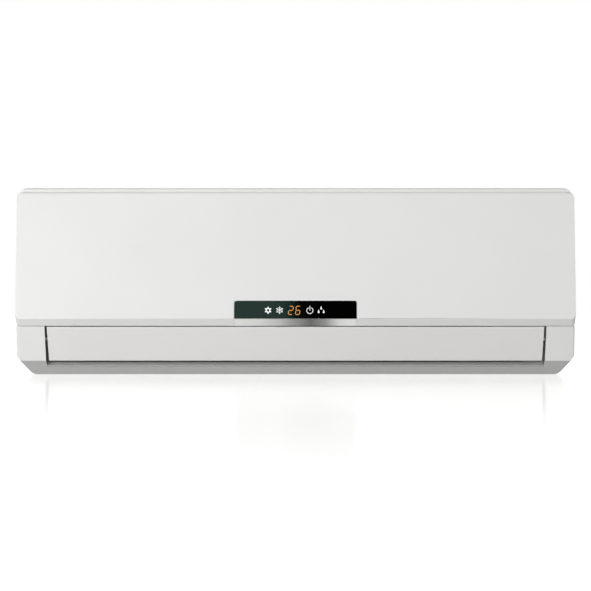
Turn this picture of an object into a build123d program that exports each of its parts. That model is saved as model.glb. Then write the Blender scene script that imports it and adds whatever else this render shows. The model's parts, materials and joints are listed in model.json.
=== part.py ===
"""Wall-hung indoor unit of a split air conditioner.

Millimetres, +Z up, +X to the right of someone facing the unit, the room towards -Y. The origin is on the
wall, at the middle of the wall plate's back face. Side profiles are drawn as (depth, height): depth is
measured from the wall, height from the underside of the unit.
"""
from build123d import *
import math
import os

os.makedirs("parts", exist_ok=True)

# ---------------------------------------------------------------- driving dimensions
body_width = 790.0
body_height = 265.0
body_depth = 177.0           # wall to the lower edge of the front panel's face
shell = 2.2                  # wall of the casing mouldings
inner_wall = 2.4             # wall of the chassis and tray mouldings
part_gap = 0.3               # between pieces that move past each other or lie side by side
shaft_play = 0.05            # radial play of a pin or shaft in its bore
small_sides = 8              # sides of small bars, studs and holes that repeat
large_sides = 24             # sides of the fan's discs and the motors
spout_sides = 12

# front panel
panel_thickness = 2.4
panel_top_gap = 5.5
panel_bead_radius = 6.0      # rounded top edge, which turns about its own centre
panel_lean = 19.0            # how far the top edge stands behind the lower edge
panel_bottom = 79.0          # where the face turns into the sloping band
band_bottom = 69.2
band_set_back = 5.0
panel_rim = 9.5              # depth of the side walls behind the face
panel_side_radius = 6.0
panel_pin_radius = 2.0
panel_pin_length = 7.0
panel_ear_thickness = 5.0
panel_ear_wall = 1.3
panel_ear_steps = 4
panel_ear_open = 40.0        # where the rounded edge opens over the ears, up from straight forward

# display in the front panel
window_width = 173.0
window_height = 25.0
window_thickness = 1.6
window_corner = 3.5
window_proud = 0.25
window_sight_border = 5.0    # how far the opening behind the window is inside its edge
trim_thickness = 1.1
trim_end_gap = 0.4

# front case
case_inset = 0.8             # case side wall inside the panel's side
case_back = 1.5
case_back_bevel = 4.0
nose_radius = 4.2
nose_thickness = 6.6
nose_set_back = 4.0            # front of the nose behind the panel's hinge line
top_corner_radius = 14.0
panel_corner_radius = 10.0
bottom_corner_run = 20.0        # the lower corners are cut off aslant and rounded
bottom_corner_rise = 27.0
bottom_corner_round = 10.0
cheek_top = 68.6
cheek_top_set_back = 4.6
cheek_bottom = 20.0
cheek_bottom_set_back = 9.5
underside_set_back = 37.0
lip_top = 13.6
drip_edge_height = 17.5
drip_edge_set_back = 2.5
cheek_edge_radius = 3.0
outlet_top = 72.5
cheek_width = 40.8      # half width of the outlet in the case, at the top of the cheeks
outlet_taper = 2.2

# screws from the case into the drip tray
screw_inset = 105.0
screw_radius = 1.75
screw_length = 9.0
screw_head_radius = 3.1
screw_head_height = 1.9
screw_boss_radius = 3.0

# emergency button behind the panel
button_inset = 33.0
button_height = 112.0
button_half_width = 5.0
button_half_height = 3.2
button_flange = 1.3
button_flange_thickness = 1.2
button_proud = 1.4
button_travel = 1.0
button_post_x = 11.0
button_post_radius = 2.2
button_board_gap = 9.0
button_board_thickness = 1.6
button_switch_height = 3.5
button_board_margin = 4.0
button_board_half_height = 8.0
switch_half = 3.0
switch_plunger_radius = 1.7
switch_plunger_length = 0.8

# top intake grille
grille_margin = 43.0
grille_set_back = 49.0
grille_back_depth = 16.0
grille_rows = 5
grille_columns = 6
grille_bar = 3.6             # bars that run from side to side
grille_rib = 7.0             # ribs that run from back to front

# filters
filter_left_margin = 57.0
filter_right_margin = 97.0
filter_mullion = 12.0        # bar of the case between the two filters
filter_thickness = 2.4
filter_overlap = 4.0         # how far the frame reaches behind the case's bars
filter_bottom = 97.0
filter_window_gap = 25.0
filter_run_gap = 13.0    # height of the stretch under the grille
filter_bend_radius = 32.0
filter_back_depth = 34.0
filter_bar = 3.0
filter_border = 7.0
filter_mesh_thickness = 0.4
filter_columns = 2
filter_rows = 2
filter_row_pitch = 54.0
filter_top_pitch = 39.0

# cross-flow fan
fan_set_back = 97.0
fan_height = 100.0
fan_radius = 44.0
fan_left_gap = 9.0
fan_right_gap = 10.0
fan_blade_count = 12
fan_bay_count = 2
fan_blade_chord = 13.0
fan_blade_thickness = 1.3
fan_blade_camber = 2.6
fan_disc_thickness = 2.4
fan_disc_hole_radius = 27.0
fan_hub_radius = 13.0
fan_hub_length = 20.0
fan_sleeve_wall = 2.0
fan_blade_lean = 12.0
bearing_radius = 9.0
bearing_width = 8.0
shaft_radius = 4.0
rubber_flange = 3.5
rubber_flange_thickness = 3.0

# scroll and outlet floor
scroll_radius = 58.0
scroll_set_back = 91.0
scroll_height = 98.0
scroll_start = 125.0         # angles from the forward direction
scroll_end = 249.0
floor_end_set_back = 27.5
left_bay = 61.0      # inner faces of the chassis end plates
right_bay = 119.0
duct_step = 0.4            # inner faces of the outlet's end walls

wing_set_back = 57.0      # where the outlet starts to widen
wing_back_height = 76.0
flare_set_back = 35.0
end_plate_step_set_back = 117.0
end_plate_top = 158.0
end_plate_set_back = 55.0
end_wall_set_back = 15.0
end_wall_bottom = 20.5
flare_thickness = 2.8
trough_lip = 9.0
underside_gap = 0.6
bearing_seat_radius = 14.0
motor_web_reach_back = 34.0
motor_web_reach_front = 26.0
saddle_top = 68.0
saddle_inset = 2.0
motor_web_inset = 4.0

# drip tray
tongue_set_back = 51.0
tongue_tip_height = 77.5
tongue_width = 3.5
tongue_foot = 6.0
roof_fall = 1.5
tray_lip_height = 94.0
tray_floor_height = 80.5
tray_set_back = 16.8
roof_front_height = 73.0
spout_set_back = 32.0
spout_height = 88.5
spout_radius = 7.5
spout_wall = 1.8
spout_length = 16.0
louver_bush_radius = 5.0
bush_flange = 1.5

# evaporator coils
coil_thickness = 20.0
coil_left_gap = 12.0
coil_right_gap = 14.0
coil_foot_set_back = 33.0
coil_foot_height = 91.0
coil_knee_set_back = 40.0
coil_knee_height = 164.0
coil_knee_step = (4.0, 8.0)        # from the lower coil's head to the upper coil's foot
coil_head_gap = 29.0
coil_head_set_back = 84.5
coil_head_gap_depth = 20.0
coil_rear_foot = (38.0, 174.0)
coil_plate_thickness = 1.2
fin_gap_count = 20
fin_gap_width = 4.0
fin_gap_depth = 5.0
plate_foot_height = 158.2
plate_foot_back_gap = 12.0
plate_foot_reach = 32.0
plate_back_step = 8.0
plate_front_step = 4.0
tube_radius = 3.5
tube_pitch = 19.0
tubes_per_coil = 4
bend_steps = 4               # straight steps round a return bend
bend_sides = 6

# louver
louver_axis_set_back = 17.0
louver_axis_height = 50.0
louver_top = 68.1
louver_bottom = 19.6
louver_top_gap = 3.3
louver_bottom_gap = 4.0
louver_set_back = 0.2        # face behind the plane of the cheeks
louver_thickness = 2.6
louver_pin_radius = 2.5
louver_lug_radius = 5.2
louver_lug_thickness = 4.0
louver_support_x = 118.0
louver_support_thickness = 4.0
louver_lug_inset = 4.9
louver_edge_radius = 1.0
support_length = 8.5
step_motor_radius = 12.0
step_motor_length = 17.0
step_motor_offset = 4.5
step_ear_spacing = 32.0
step_ear_width = 7.0
step_ear_thickness = 1.0

# upright vanes
vanes_per_group = 6
vane_end_share = 0.2
vane_set_back = 54.0
vane_thickness = 1.5
vane_pin_radius = 2.0        # of the circle round the flat pivot tab
vane_pin_length = 7.0
vane_pin_half_width = 1.8
vane_sides = 6
vane_boss_radius = 4.5
vane_boss_top = 29.0
vane_reach_back = 19.0
vane_reach_front = 17.0
vane_top = 66.5
link_arm = 11.0
link_height = 38.0
link_width = 4.0
link_thickness = 2.4
link_pin_radius = 1.4
link_pin_length = 4.0
vane_notch = 6.0
vane_heel = (7.0, 21.0)        # low and high end of a vane's upright back edge
vane_shoulder = (12.0, 6.0)
vane_crown = 24.0
vane_toe = 5.0
link_end = 6.0
vane_eye_radius = 2.8

# fan motor
motor_radius = 45.0
motor_gap = 8.0
motor_length = 42.0
motor_boss_radius = 17.0
motor_boss_length = 5.0
motor_shoulder_radius = 34.0
motor_shoulder = 5.0
motor_shaft_play = 0.3
motor_clamp_inset = 10.0
motor_clamp_wall = 2.0
motor_clamp_lug = 7.0

# electric box
box_width = 55.0
box_side_gap = 7.0
box_front_depth = 114.0
box_bottom = 62.0
box_top_gap = 29.0
box_wall = 2.0
box_cover_thickness = 1.8
box_cover_rim = 6.0
box_slits = 4
box_slit_pitch = 12.0
board_thickness = 1.6
board_standoff = 6.0
board_margin = 9.0
board_post_radius = 3.0
board_blocks = ((14.0, 22.0, 28.0, 34.0, 22.0), (60.0, 24.0, 28.0, 22.0, 15.0),
                (20.0, 92.0, 28.0, 24.0, 16.0),
                (74.0, 86.0, 20.0, 40.0, 12.0))  # place, drop, depth, height, reach
capacitor_places = ((62.0, 68.0), (88.0, 68.0))
capacitor_radius = 7.0
capacitor_length = 26.0
slit_top_gap = 30.0
slit_back_gap = 20.0
slit_front_gap = 30.0
terminal_width = 34.0
terminal_depth = 15.0
terminal_height = 18.0
terminal_ways = 4
terminal_rib = 2.0
terminal_set_back = 2.0
terminal_slot_depth = 8.0
terminal_slot_foot = 4.0

# display behind the window
display_half = 70.0
display_low = 82.0
display_high = 103.0
display_clearance = 1.0      # between the housing and the panel's inner face
display_wall = 1.5
display_module = 4.0
display_module_half = 12.0
display_module_margin = 2.0

# wall plate
plate_margin = 115.0
plate_bottom = 49.0
plate_thickness = 1.2
plate_hole_radius = 3.0
plate_hole_spacing_x = 450.0
plate_hole_spacing_z = 120.0
hook_x = 190.0
hook_width = 40.0
hook_reach = 11.6
hook_rise = 8.0
hook_slot_side = 2.0          # room beside a hook in its slot
hook_slot_drop = 4.0
hook_drop = 49.0
plate_corner = 12.0
plate_foot_depth = 7.6

# rear wall of the chassis
rear_wall_depth = 8.0
rear_wall_bottom = 62.0
rear_wall_top_gap = 9.0
rear_wall_margin = 9.0
rear_trough_height = 151.0

# refrigerant pipes
gas_pipe_radius = 4.76
liquid_pipe_radius = 3.18
pipe_depth = 22.0
gas_pipe_height = 18.0
liquid_pipe_height = 36.0
gas_pipe_end = -90.0
liquid_pipe_end = -150.0
gas_nut_length = 24.0
liquid_nut_length = 20.0
gas_nut_flats = 22.0
liquid_nut_flats = 17.0
gas_thread_radius = 7.2
liquid_thread_radius = 5.2
pipe_sides = 8
pipe_bend_steps = 4          # straight steps round each bend of a pipe
flare_length = 1.5
flare_step = 0.6               # flare inside the thread's radius
nut_thread_share = 0.6
gas_drop = 26.0           # where each pipe goes down beside the motor
liquid_drop = 14.0
pipe_bend = 16.0
pipe_first_bend = 11.2       # bend nearest the coil
pipe_clamp_left = -30.0
pipe_clamp_width = 16.0
pipe_clamp_margin = 4.5
sensor_radius = 2.6
sensor_length = 22.0
plug_head_radius = 9.0
plug_length = 12.0
plug_head_thickness = 3.0

# ---------------------------------------------------------------- derived places
mid_height = body_height / 2
case_half = body_width / 2 - case_inset
panel_half = body_width / 2
panel_top = body_height - panel_top_gap
nose_under = body_height - nose_thickness
filter_window_top = body_height - filter_window_gap
filter_run_height = body_height - filter_run_gap
box_top = body_height - box_top_gap
rear_wall_top = body_height - rear_wall_top_gap
hook_height = body_height - hook_drop
cheek_top_depth = body_depth - cheek_top_set_back
cheek_bottom_depth = body_depth - cheek_bottom_set_back
underside_front_depth = body_depth - underside_set_back
tray_front_depth = body_depth - tray_set_back
end_wall_front = body_depth - end_wall_set_back
floor_end_depth = body_depth - floor_end_set_back
louver_axis_depth = body_depth - louver_axis_set_back
fan_depth = body_depth - fan_set_back
scroll_depth = body_depth - scroll_set_back
wing_back_depth = body_depth - wing_set_back
flare_end_depth = body_depth - flare_set_back
end_plate_front = body_depth - end_plate_set_back
end_plate_step = body_depth - end_plate_step_set_back
vane_axis_depth = body_depth - vane_set_back
vane_back_depth = vane_axis_depth - vane_reach_back
vane_front_depth = vane_axis_depth + vane_reach_front
link_depth = vane_axis_depth + link_arm
plate_foot_back = fan_depth - plate_foot_back_gap
plate_foot_front = fan_depth + plate_foot_reach
coil_upper_head_depth = body_depth - coil_head_set_back
coil_rear_head_depth = coil_upper_head_depth - coil_head_gap_depth
motor_web_back = fan_depth - motor_web_reach_back
motor_web_front = fan_depth + motor_web_reach_front
grille_front_depth = body_depth - grille_set_back
tongue_tip = (body_depth - tongue_set_back, tongue_tip_height)
spout_centre = (body_depth - spout_set_back, spout_height)
support_back_depth = floor_end_depth - support_length
outlet_half_top = panel_half - cheek_width
outlet_half_bottom = outlet_half_top - outlet_taper
duct_half = outlet_half_top + duct_step
louver_half_top = outlet_half_top - louver_top_gap
louver_half_bottom = outlet_half_bottom - louver_bottom_gap
louver_lug_x = louver_half_top - louver_lug_inset
end_plate_left = left_bay - panel_half
end_plate_right = panel_half - right_bay
fan_left = end_plate_left + fan_left_gap
fan_right = end_plate_right - fan_right_gap
coil_left = end_plate_left + coil_left_gap
coil_right = end_plate_right - coil_right_gap
motor_left = end_plate_right + motor_gap
gas_drop_x = end_plate_right + gas_drop
liquid_drop_x = end_plate_right + liquid_drop
box_right = panel_half - box_side_gap
box_left = box_right - box_width
button_x = panel_half - button_inset
grille_half = panel_half - grille_margin
filter_left_edge = filter_left_margin - panel_half
filter_right_edge = panel_half - filter_right_margin
rear_wall_half = panel_half - rear_wall_margin
plate_width = body_width - 2 * plate_margin
screw_places = (screw_inset - panel_half, 0.0, panel_half - screw_inset)
vane_pitch = (end_plate_right - end_plate_left) / (2 * vanes_per_group + vane_end_share)
coil_front_foot = (body_depth - coil_foot_set_back, coil_foot_height)
coil_front_knee = (body_depth - coil_knee_set_back, coil_knee_height)
coil_upper_foot = (coil_front_knee[0] - coil_knee_step[0], coil_front_knee[1] + coil_knee_step[1])
coil_upper_head = (coil_upper_head_depth, body_height - coil_head_gap)
coil_rear_head = (coil_rear_head_depth, body_height - coil_head_gap)
hinge_depth = body_depth - panel_lean - panel_bead_radius
hinge_height = panel_top - panel_bead_radius
to_edge = (body_depth - hinge_depth, hinge_height - panel_bottom)
panel_angle = math.atan2(*to_edge) - math.asin(panel_bead_radius / math.hypot(*to_edge))
fan_centre = (fan_depth, fan_height)
scroll_centre = (scroll_depth, scroll_height)
louver_axis = (louver_axis_depth, louver_axis_height)
lip_depth = underside_front_depth + (cheek_bottom_depth - underside_front_depth) * lip_top / cheek_bottom


to_room = (0, -1, 0)
to_wall = (0, 1, 0)
to_right = (1, 0, 0)
upwards = (0, 0, 1)
downwards = (0, 0, -1)


def at(depth, height):
    """Place of a side profile's point in a sketch on the YZ plane."""
    return (-depth, height - mid_height)


def place(x, depth, height):
    """Point in space from x, depth from the wall and height above the underside."""
    return (x, -depth, height - mid_height)


def around(centre, radius, degrees):
    """Side profile point at a radius and an angle, counted from straight forward and upwards."""
    angle = math.radians(degrees)
    return (centre[0] + radius * math.cos(angle), centre[1] + radius * math.sin(angle))


def between(start, end, share):
    """Side profile point part of the way from start to end."""
    return (start[0] + (end[0] - start[0]) * share, start[1] + (end[1] - start[1]) * share)


def beside(start, end, distance):
    """Start and end shifted sideways, to the left of the way from start to end."""
    run = math.dist(start, end)
    shift = (-(end[1] - start[1]) / run * distance, (end[0] - start[0]) / run * distance)
    return [(p[0] + shift[0], p[1] + shift[1]) for p in (start, end)]


def inset_line(points, distance):
    """Open line of points moved over to its left, with its corners kept sharp."""
    sides = [beside(a, b, distance) for a, b in zip(points, points[1:])]
    far = [sides[0][0]]
    for (a, b), (c, d) in zip(sides, sides[1:]):
        cross = (b[0] - a[0]) * (d[1] - c[1]) - (b[1] - a[1]) * (d[0] - c[0])
        share = ((c[0] - a[0]) * (d[1] - c[1]) - (c[1] - a[1]) * (d[0] - c[0])) / cross
        far.append(between(a, b, share))
    far.append(sides[-1][1])
    return far


def wall_of(points, thickness):
    """Closed outline of a wall of even thickness, to the left of an open line of points."""
    return list(points) + inset_line(points, thickness)[::-1]


def slab(points, left, right, mode=Mode.ADD):
    """Side profile through the points, drawn out from x = left to x = right in the current part."""
    with BuildSketch(Plane.YZ.offset(left)) as profile:
        with BuildLine():
            Polyline(*[at(*point) for point in points], close=True)
        make_face()
    extrude(profile.sketch, amount=right - left, mode=mode)


def rod(centre, radius, left, right, mode=Mode.ADD):
    """Round bar along X about a side profile point, from x = left to x = right in the current part."""
    with BuildSketch(Plane.YZ.offset(left)) as section:
        with Locations(at(*centre)):
            Circle(radius)
    extrude(section.sketch, amount=right - left, mode=mode)


def drum(centre, radius, left, right, sides, mode=Mode.ADD):
    """Bar as rod makes it, with flat sides: inside the radius where added, outside it where cut."""
    with BuildSketch(Plane.YZ.offset(left)) as section:
        with Locations(at(*centre)):
            RegularPolygon(radius, sides, major_radius=mode == Mode.ADD)
    extrude(section.sketch, amount=right - left, mode=mode)


def prism(x, centre, direction, radius, length, sides=small_sides, mode=Mode.ADD):
    """Small many-sided bar from a place along a direction.

    It stays inside the radius where added, and outside it where cut.
    """
    with BuildSketch(Plane(place(x, *centre), z_dir=direction)) as section:
        RegularPolygon(radius, sides, major_radius=mode == Mode.ADD)
    extrude(section.sketch, amount=length, mode=mode)


def block(x, depth, height, mode=Mode.ADD):
    """Block in the current part, each side given as a (low, high) pair."""
    centre = place(sum(x) / 2, sum(depth) / 2, sum(height) / 2)
    with Locations(centre):
        Box(x[1] - x[0], depth[1] - depth[0], height[1] - height[0], mode=mode)


def elevation(half_width, inset, top_radius):
    """Front elevation of the casing, drawn in by an inset, as a face on the wall."""
    share = 1 - inset * (1 / bottom_corner_run + 1 / bottom_corner_rise
                         - math.hypot(1 / bottom_corner_run, 1 / bottom_corner_rise))
    low, high = inset - mid_height, mid_height - inset
    side = [(half_width, high), (half_width, low + bottom_corner_rise * share),
            (half_width - bottom_corner_run * share, low)]
    with BuildSketch(Plane.XZ) as outline:
        with BuildLine():
            Polyline(*side, *[(-x, z) for x, z in side[::-1]], close=True)
        make_face()
        rows = outline.vertices().group_by(Axis.Y)
        fillet(rows[-1], top_radius - inset)
        fillet(outline.vertices().group_by(Axis.Y)[1], bottom_corner_round - inset)
        fillet(outline.vertices().group_by(Axis.Y)[0], bottom_corner_round - inset)
    return outline.sketch


# ---------------------------------------------------------------- front panel
face_normal = (math.cos(panel_angle), math.sin(panel_angle))
face_top = (hinge_depth + panel_bead_radius * face_normal[0],
            hinge_height + panel_bead_radius * face_normal[1])
face_bottom = (body_depth, panel_bottom)
band_end = (body_depth - band_set_back, band_bottom)


def face_point(height, behind):
    """Point at a height, a distance straight behind the panel's face."""
    depth = face_top[0] + (face_top[1] - height) * math.tan(panel_angle)
    return (depth - behind / face_normal[0], height)


hinge_axis = (hinge_depth, hinge_height)
panel_inner_line = inset_line([band_end, face_bottom, face_top], panel_thickness)
panel_hollow = [(panel_inner_line[0][0], band_bottom - 1)] + panel_inner_line + [
    (panel_inner_line[-1][0], face_top[1] + 1), (face_point(hinge_height, panel_rim + 1)[0], face_top[1] + 1),
    (face_point(panel_bottom, panel_rim + 1)[0], band_bottom - 1)]
rim_profile = [band_end, face_bottom, face_top,
               face_point(hinge_height, panel_rim), face_point(panel_bottom, panel_rim),
               (face_point(panel_bottom, panel_rim)[0], band_bottom)]
bead_half = panel_half - panel_thickness - panel_pin_length

window_bottom = panel_bottom + 0.7
window_face = [face_point(window_bottom, -window_proud),
               face_point(window_bottom + window_height, -window_proud)]
window_floor = [face_point(window_bottom, window_thickness - window_proud),
                face_point(window_bottom + window_height, window_thickness - window_proud)]
window_profile = window_face + window_floor[::-1]

trim_face = [band_end, face_bottom]
trim_profile = wall_of(trim_face, trim_thickness)

with BuildPart() as front_panel:
    slab(rim_profile, -panel_half, panel_half)
    side_edges = front_panel.edges().filter_by(lambda e: abs(abs(e.center().X) - panel_half) < 0.01)
    fillet(side_edges.sort_by(Axis.Y)[0:4], panel_side_radius)
    slab(panel_hollow, -panel_half + panel_thickness, panel_half - panel_thickness, mode=Mode.SUBTRACT)
    rod(hinge_axis, panel_bead_radius, -panel_half, panel_half)
    rod(hinge_axis, panel_bead_radius - panel_thickness, -bead_half + panel_thickness,
        bead_half - panel_thickness, mode=Mode.SUBTRACT)
    # at the ends the rounded edge is open behind, for the ears of the case, with a pin across
    for side in (-1, 1):
        near, far = sorted((side * bead_half, side * (panel_half - panel_thickness)))
        rod(hinge_axis, panel_bead_radius - panel_thickness, near, far, mode=Mode.SUBTRACT)
        ear_angles = [panel_ear_open + step * (270 - panel_ear_open) / panel_ear_steps
                      for step in range(panel_ear_steps + 1)]
        slab([hinge_axis] + [around(hinge_axis, 3 * panel_bead_radius, angle) for angle in ear_angles],
             near, far, mode=Mode.SUBTRACT)
        drum(hinge_axis, panel_pin_radius, near, far, small_sides)
    slab(window_profile, -window_width / 2, window_width / 2, mode=Mode.SUBTRACT)
    block((-window_width / 2 + window_sight_border, window_width / 2 - window_sight_border),
          (body_depth - panel_rim, body_depth),
          (window_bottom + window_sight_border, window_bottom + window_height - window_sight_border),
          mode=Mode.SUBTRACT)
    slab(trim_profile, -window_width / 2, window_width / 2, mode=Mode.SUBTRACT)
    extrude(elevation(panel_half, 0, top_corner_radius), amount=body_depth, mode=Mode.INTERSECT)
    with BuildSketch(Plane.XZ) as panel_front:
        with Locations((0, panel_top - mid_height)):
            Rectangle(2 * panel_half, 2 * panel_top, align=(Align.CENTER, Align.MAX))
        fillet(panel_front.vertices().group_by(Axis.Y)[-1], panel_corner_radius)
    extrude(panel_front.sketch, amount=body_depth, mode=Mode.INTERSECT)
front_panel.part.label = "front_panel"
export_step(front_panel.part, "parts/front_panel.step")

with BuildPart() as display_window:
    slab(window_profile, -window_width / 2 + part_gap, window_width / 2 - part_gap)
    upper_corners = display_window.edges().filter_by(Axis.Y, tolerance=10).group_by(Axis.Z)[-1]
    fillet(upper_corners, window_corner)
display_window.part.label = "display_window"
export_step(display_window.part, "parts/display_window.step")

with BuildPart() as trim_strip:
    slab(trim_profile, -window_width / 2 + trim_end_gap, window_width / 2 - trim_end_gap)
trim_strip.part.label = "trim_strip"
export_step(trim_strip.part, "parts/trim_strip.step")

# ---------------------------------------------------------------- front case
underside_half = case_half - bottom_corner_run
case_face = 2 * panel_bead_radius + part_gap
case_front_line = [(underside_front_depth, 0), (cheek_bottom_depth, cheek_bottom),
                   (cheek_top_depth, cheek_top), (face_point(panel_bottom, case_face)[0], cheek_top),
                   face_point(panel_bottom, case_face)]
case_outline = case_front_line + [
    face_point(nose_under, case_face), (hinge_depth - nose_set_back, nose_under),
    (hinge_depth - nose_set_back, body_height),
    (case_back + case_back_bevel, body_height), (case_back, body_height - case_back_bevel),
    (case_back, case_back_bevel), (case_back + case_back_bevel, 0)]
case_inner_top = body_height - shell
case_inner_line = inset_line(case_front_line + [face_point(case_inner_top, case_face)], shell)
screw_height = (outlet_top + panel_bottom) / 2
case_screw_face = face_point(panel_bottom, case_face)[0]
button_face = face_point(button_height, case_face)[0]
button_board_depth = button_face - shell - button_board_gap
case_cavity_outline = [(-1, -1), (case_inner_line[0][0], -1)] + case_inner_line + [
    (case_inner_line[-1][0], case_inner_top), (-1, case_inner_top)]
ear_inner = bead_half + (panel_pin_length - panel_ear_thickness) / 2
ear_radius = panel_pin_radius + shaft_play + panel_ear_wall
grille_depth = grille_front_depth - grille_back_depth
grille_pitch_x = 2 * grille_half / grille_columns
grille_pitch_y = grille_depth / grille_rows
filter_middle = (filter_left_edge + filter_right_edge) / 2
filter_spans = [(filter_left_edge, filter_middle - filter_mullion / 2 + filter_overlap - part_gap),
                (filter_middle + filter_mullion / 2 - filter_overlap + part_gap, filter_right_edge)]

with BuildPart() as case_cavity:
    slab(case_cavity_outline, -case_half + shell, case_half - shell)
    extrude(elevation(case_half - shell, shell, top_corner_radius), amount=body_depth, mode=Mode.INTERSECT)

with BuildPart() as front_case:
    slab(case_outline, -case_half, case_half)
    nose_edge = front_case.edges().filter_by(Axis.X).group_by(Axis.Z)[-1].sort_by(Axis.Y)[0]
    fillet(nose_edge, nose_radius)
    side_edges = front_case.edges().filter_by(lambda e: abs(abs(e.center().X) - case_half) < 0.01)
    fillet(side_edges.sort_by(Axis.Y)[0:2],
           cheek_edge_radius)
    extrude(elevation(case_half, 0, top_corner_radius), amount=body_depth, mode=Mode.INTERSECT)
    add(case_cavity.part, mode=Mode.SUBTRACT)
    block((-underside_half, underside_half), (0, underside_front_depth - 2), (-1, 2 * shell),
          mode=Mode.SUBTRACT)
    # outlet, narrower towards the lip
    with BuildSketch(Plane.XZ.offset(underside_front_depth - 20)) as outlet:
        with BuildLine():
            Polyline((-outlet_half_bottom, lip_top - mid_height), (outlet_half_bottom, lip_top - mid_height),
                     (outlet_half_top, cheek_top - mid_height), (outlet_half_top, outlet_top - mid_height),
                     (-outlet_half_top, outlet_top - mid_height), (-outlet_half_top, cheek_top - mid_height),
                     close=True)
        make_face()
    extrude(outlet.sketch, amount=body_depth, mode=Mode.SUBTRACT)
    # ledge behind the lip, over the end of the outlet floor
    block((-outlet_half_bottom, outlet_half_bottom), (floor_end_depth + part_gap, lip_depth - shell),
          (lip_top - shell, lip_top))
    drip_edge_back = floor_end_depth + drip_edge_set_back
    block((-outlet_half_bottom, outlet_half_bottom), (drip_edge_back, drip_edge_back + shell),
          (lip_top - shell, drip_edge_height))
    # filter windows
    for left, right in filter_spans:
        block((left + filter_overlap, right - filter_overlap), (hinge_depth - 20, body_depth),
              (filter_bottom + filter_overlap, filter_window_top), mode=Mode.SUBTRACT)
    # intake grille
    with Locations(place(0, (grille_front_depth + grille_back_depth) / 2, body_height - shell / 2)):
        with GridLocations(grille_pitch_x, grille_pitch_y, grille_columns, grille_rows):
            Box(grille_pitch_x - grille_rib, grille_pitch_y - grille_bar, 3 * shell, mode=Mode.SUBTRACT)
    # holes for the screws into the drip tray, and for the emergency button
    for x in screw_places:
        prism(x, (case_screw_face, screw_height), to_wall, screw_radius + part_gap, 2 * shell,
              mode=Mode.SUBTRACT)
    block((button_x - button_half_width - part_gap, button_x + button_half_width + part_gap),
          (button_board_depth, body_depth),
          (button_height - button_half_height - part_gap, button_height + button_half_height + part_gap),
          mode=Mode.SUBTRACT)
    for x in (button_x - button_post_x, button_x + button_post_x):
        prism(x, (button_board_depth, button_height), to_room, button_post_radius,
              button_face - shell / 2 - button_board_depth)
    # ears that carry the panel's pins
    for side in (-1, 1):
        near, far = sorted((side * ear_inner, side * (ear_inner + panel_ear_thickness)))
        ear_back = face_point(hinge_height, case_face + shell / 2)[0]
        slab([(ear_back, hinge_height - ear_radius), (hinge_depth, hinge_height - ear_radius),
              (hinge_depth, hinge_height + ear_radius), (ear_back, hinge_height + ear_radius)], near, far)
        prism(near, hinge_axis, to_right, ear_radius, far - near)
        drum(hinge_axis, panel_pin_radius + shaft_play, near, far, small_sides, mode=Mode.SUBTRACT)
front_case.part.label = "front_case"
export_step(front_case.part, "parts/front_case.step")

# ---------------------------------------------------------------- rear chassis
floor_start = around(scroll_centre, scroll_radius, scroll_end)
floor_slope = math.tan(math.radians(scroll_end + 90))


def floor_point(depth, above=0.0):
    """Point over the outlet floor, a height above its surface."""
    return (depth, floor_start[1] + (depth - floor_start[0]) * floor_slope + above)


floor_wall = [floor_point(floor_end_depth), floor_start]
wing_wall = [floor_point(floor_end_depth), floor_point(wing_back_depth - flare_thickness)]
trough_back = (rear_wall_depth + inner_wall / 2, rear_trough_height)
trough_front = around(scroll_centre, scroll_radius + inner_wall / 2, scroll_start)
underside_line = [(rear_wall_depth, underside_gap), (underside_front_depth - 5, underside_gap),
                  floor_point(floor_end_depth - 2, -inner_wall)]
end_plate_outline = [
    (rear_wall_depth, rear_wall_bottom), (rear_wall_depth, trough_back[1]), (trough_front[0], trough_back[1]),
    (end_plate_step, end_plate_top), (end_plate_front, end_plate_top), (end_plate_front, wing_back_height),
    floor_point(end_plate_front, -inner_wall / 2), floor_point(floor_start[0], -inner_wall / 2),
    around(scroll_centre, scroll_radius + inner_wall / 2, 225),
    around(scroll_centre, scroll_radius + inner_wall / 2, 205)]
duct_wall = duct_half + inner_wall
vane_first = (end_plate_left + end_plate_right) / 2 - (vanes_per_group - 0.5) * vane_pitch
vane_places = {side: [vane_first + vane_pitch * (vanes_per_group * group + number)
                      for number in range(vanes_per_group)]
               for group, side in enumerate(("left", "right"))}

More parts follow.
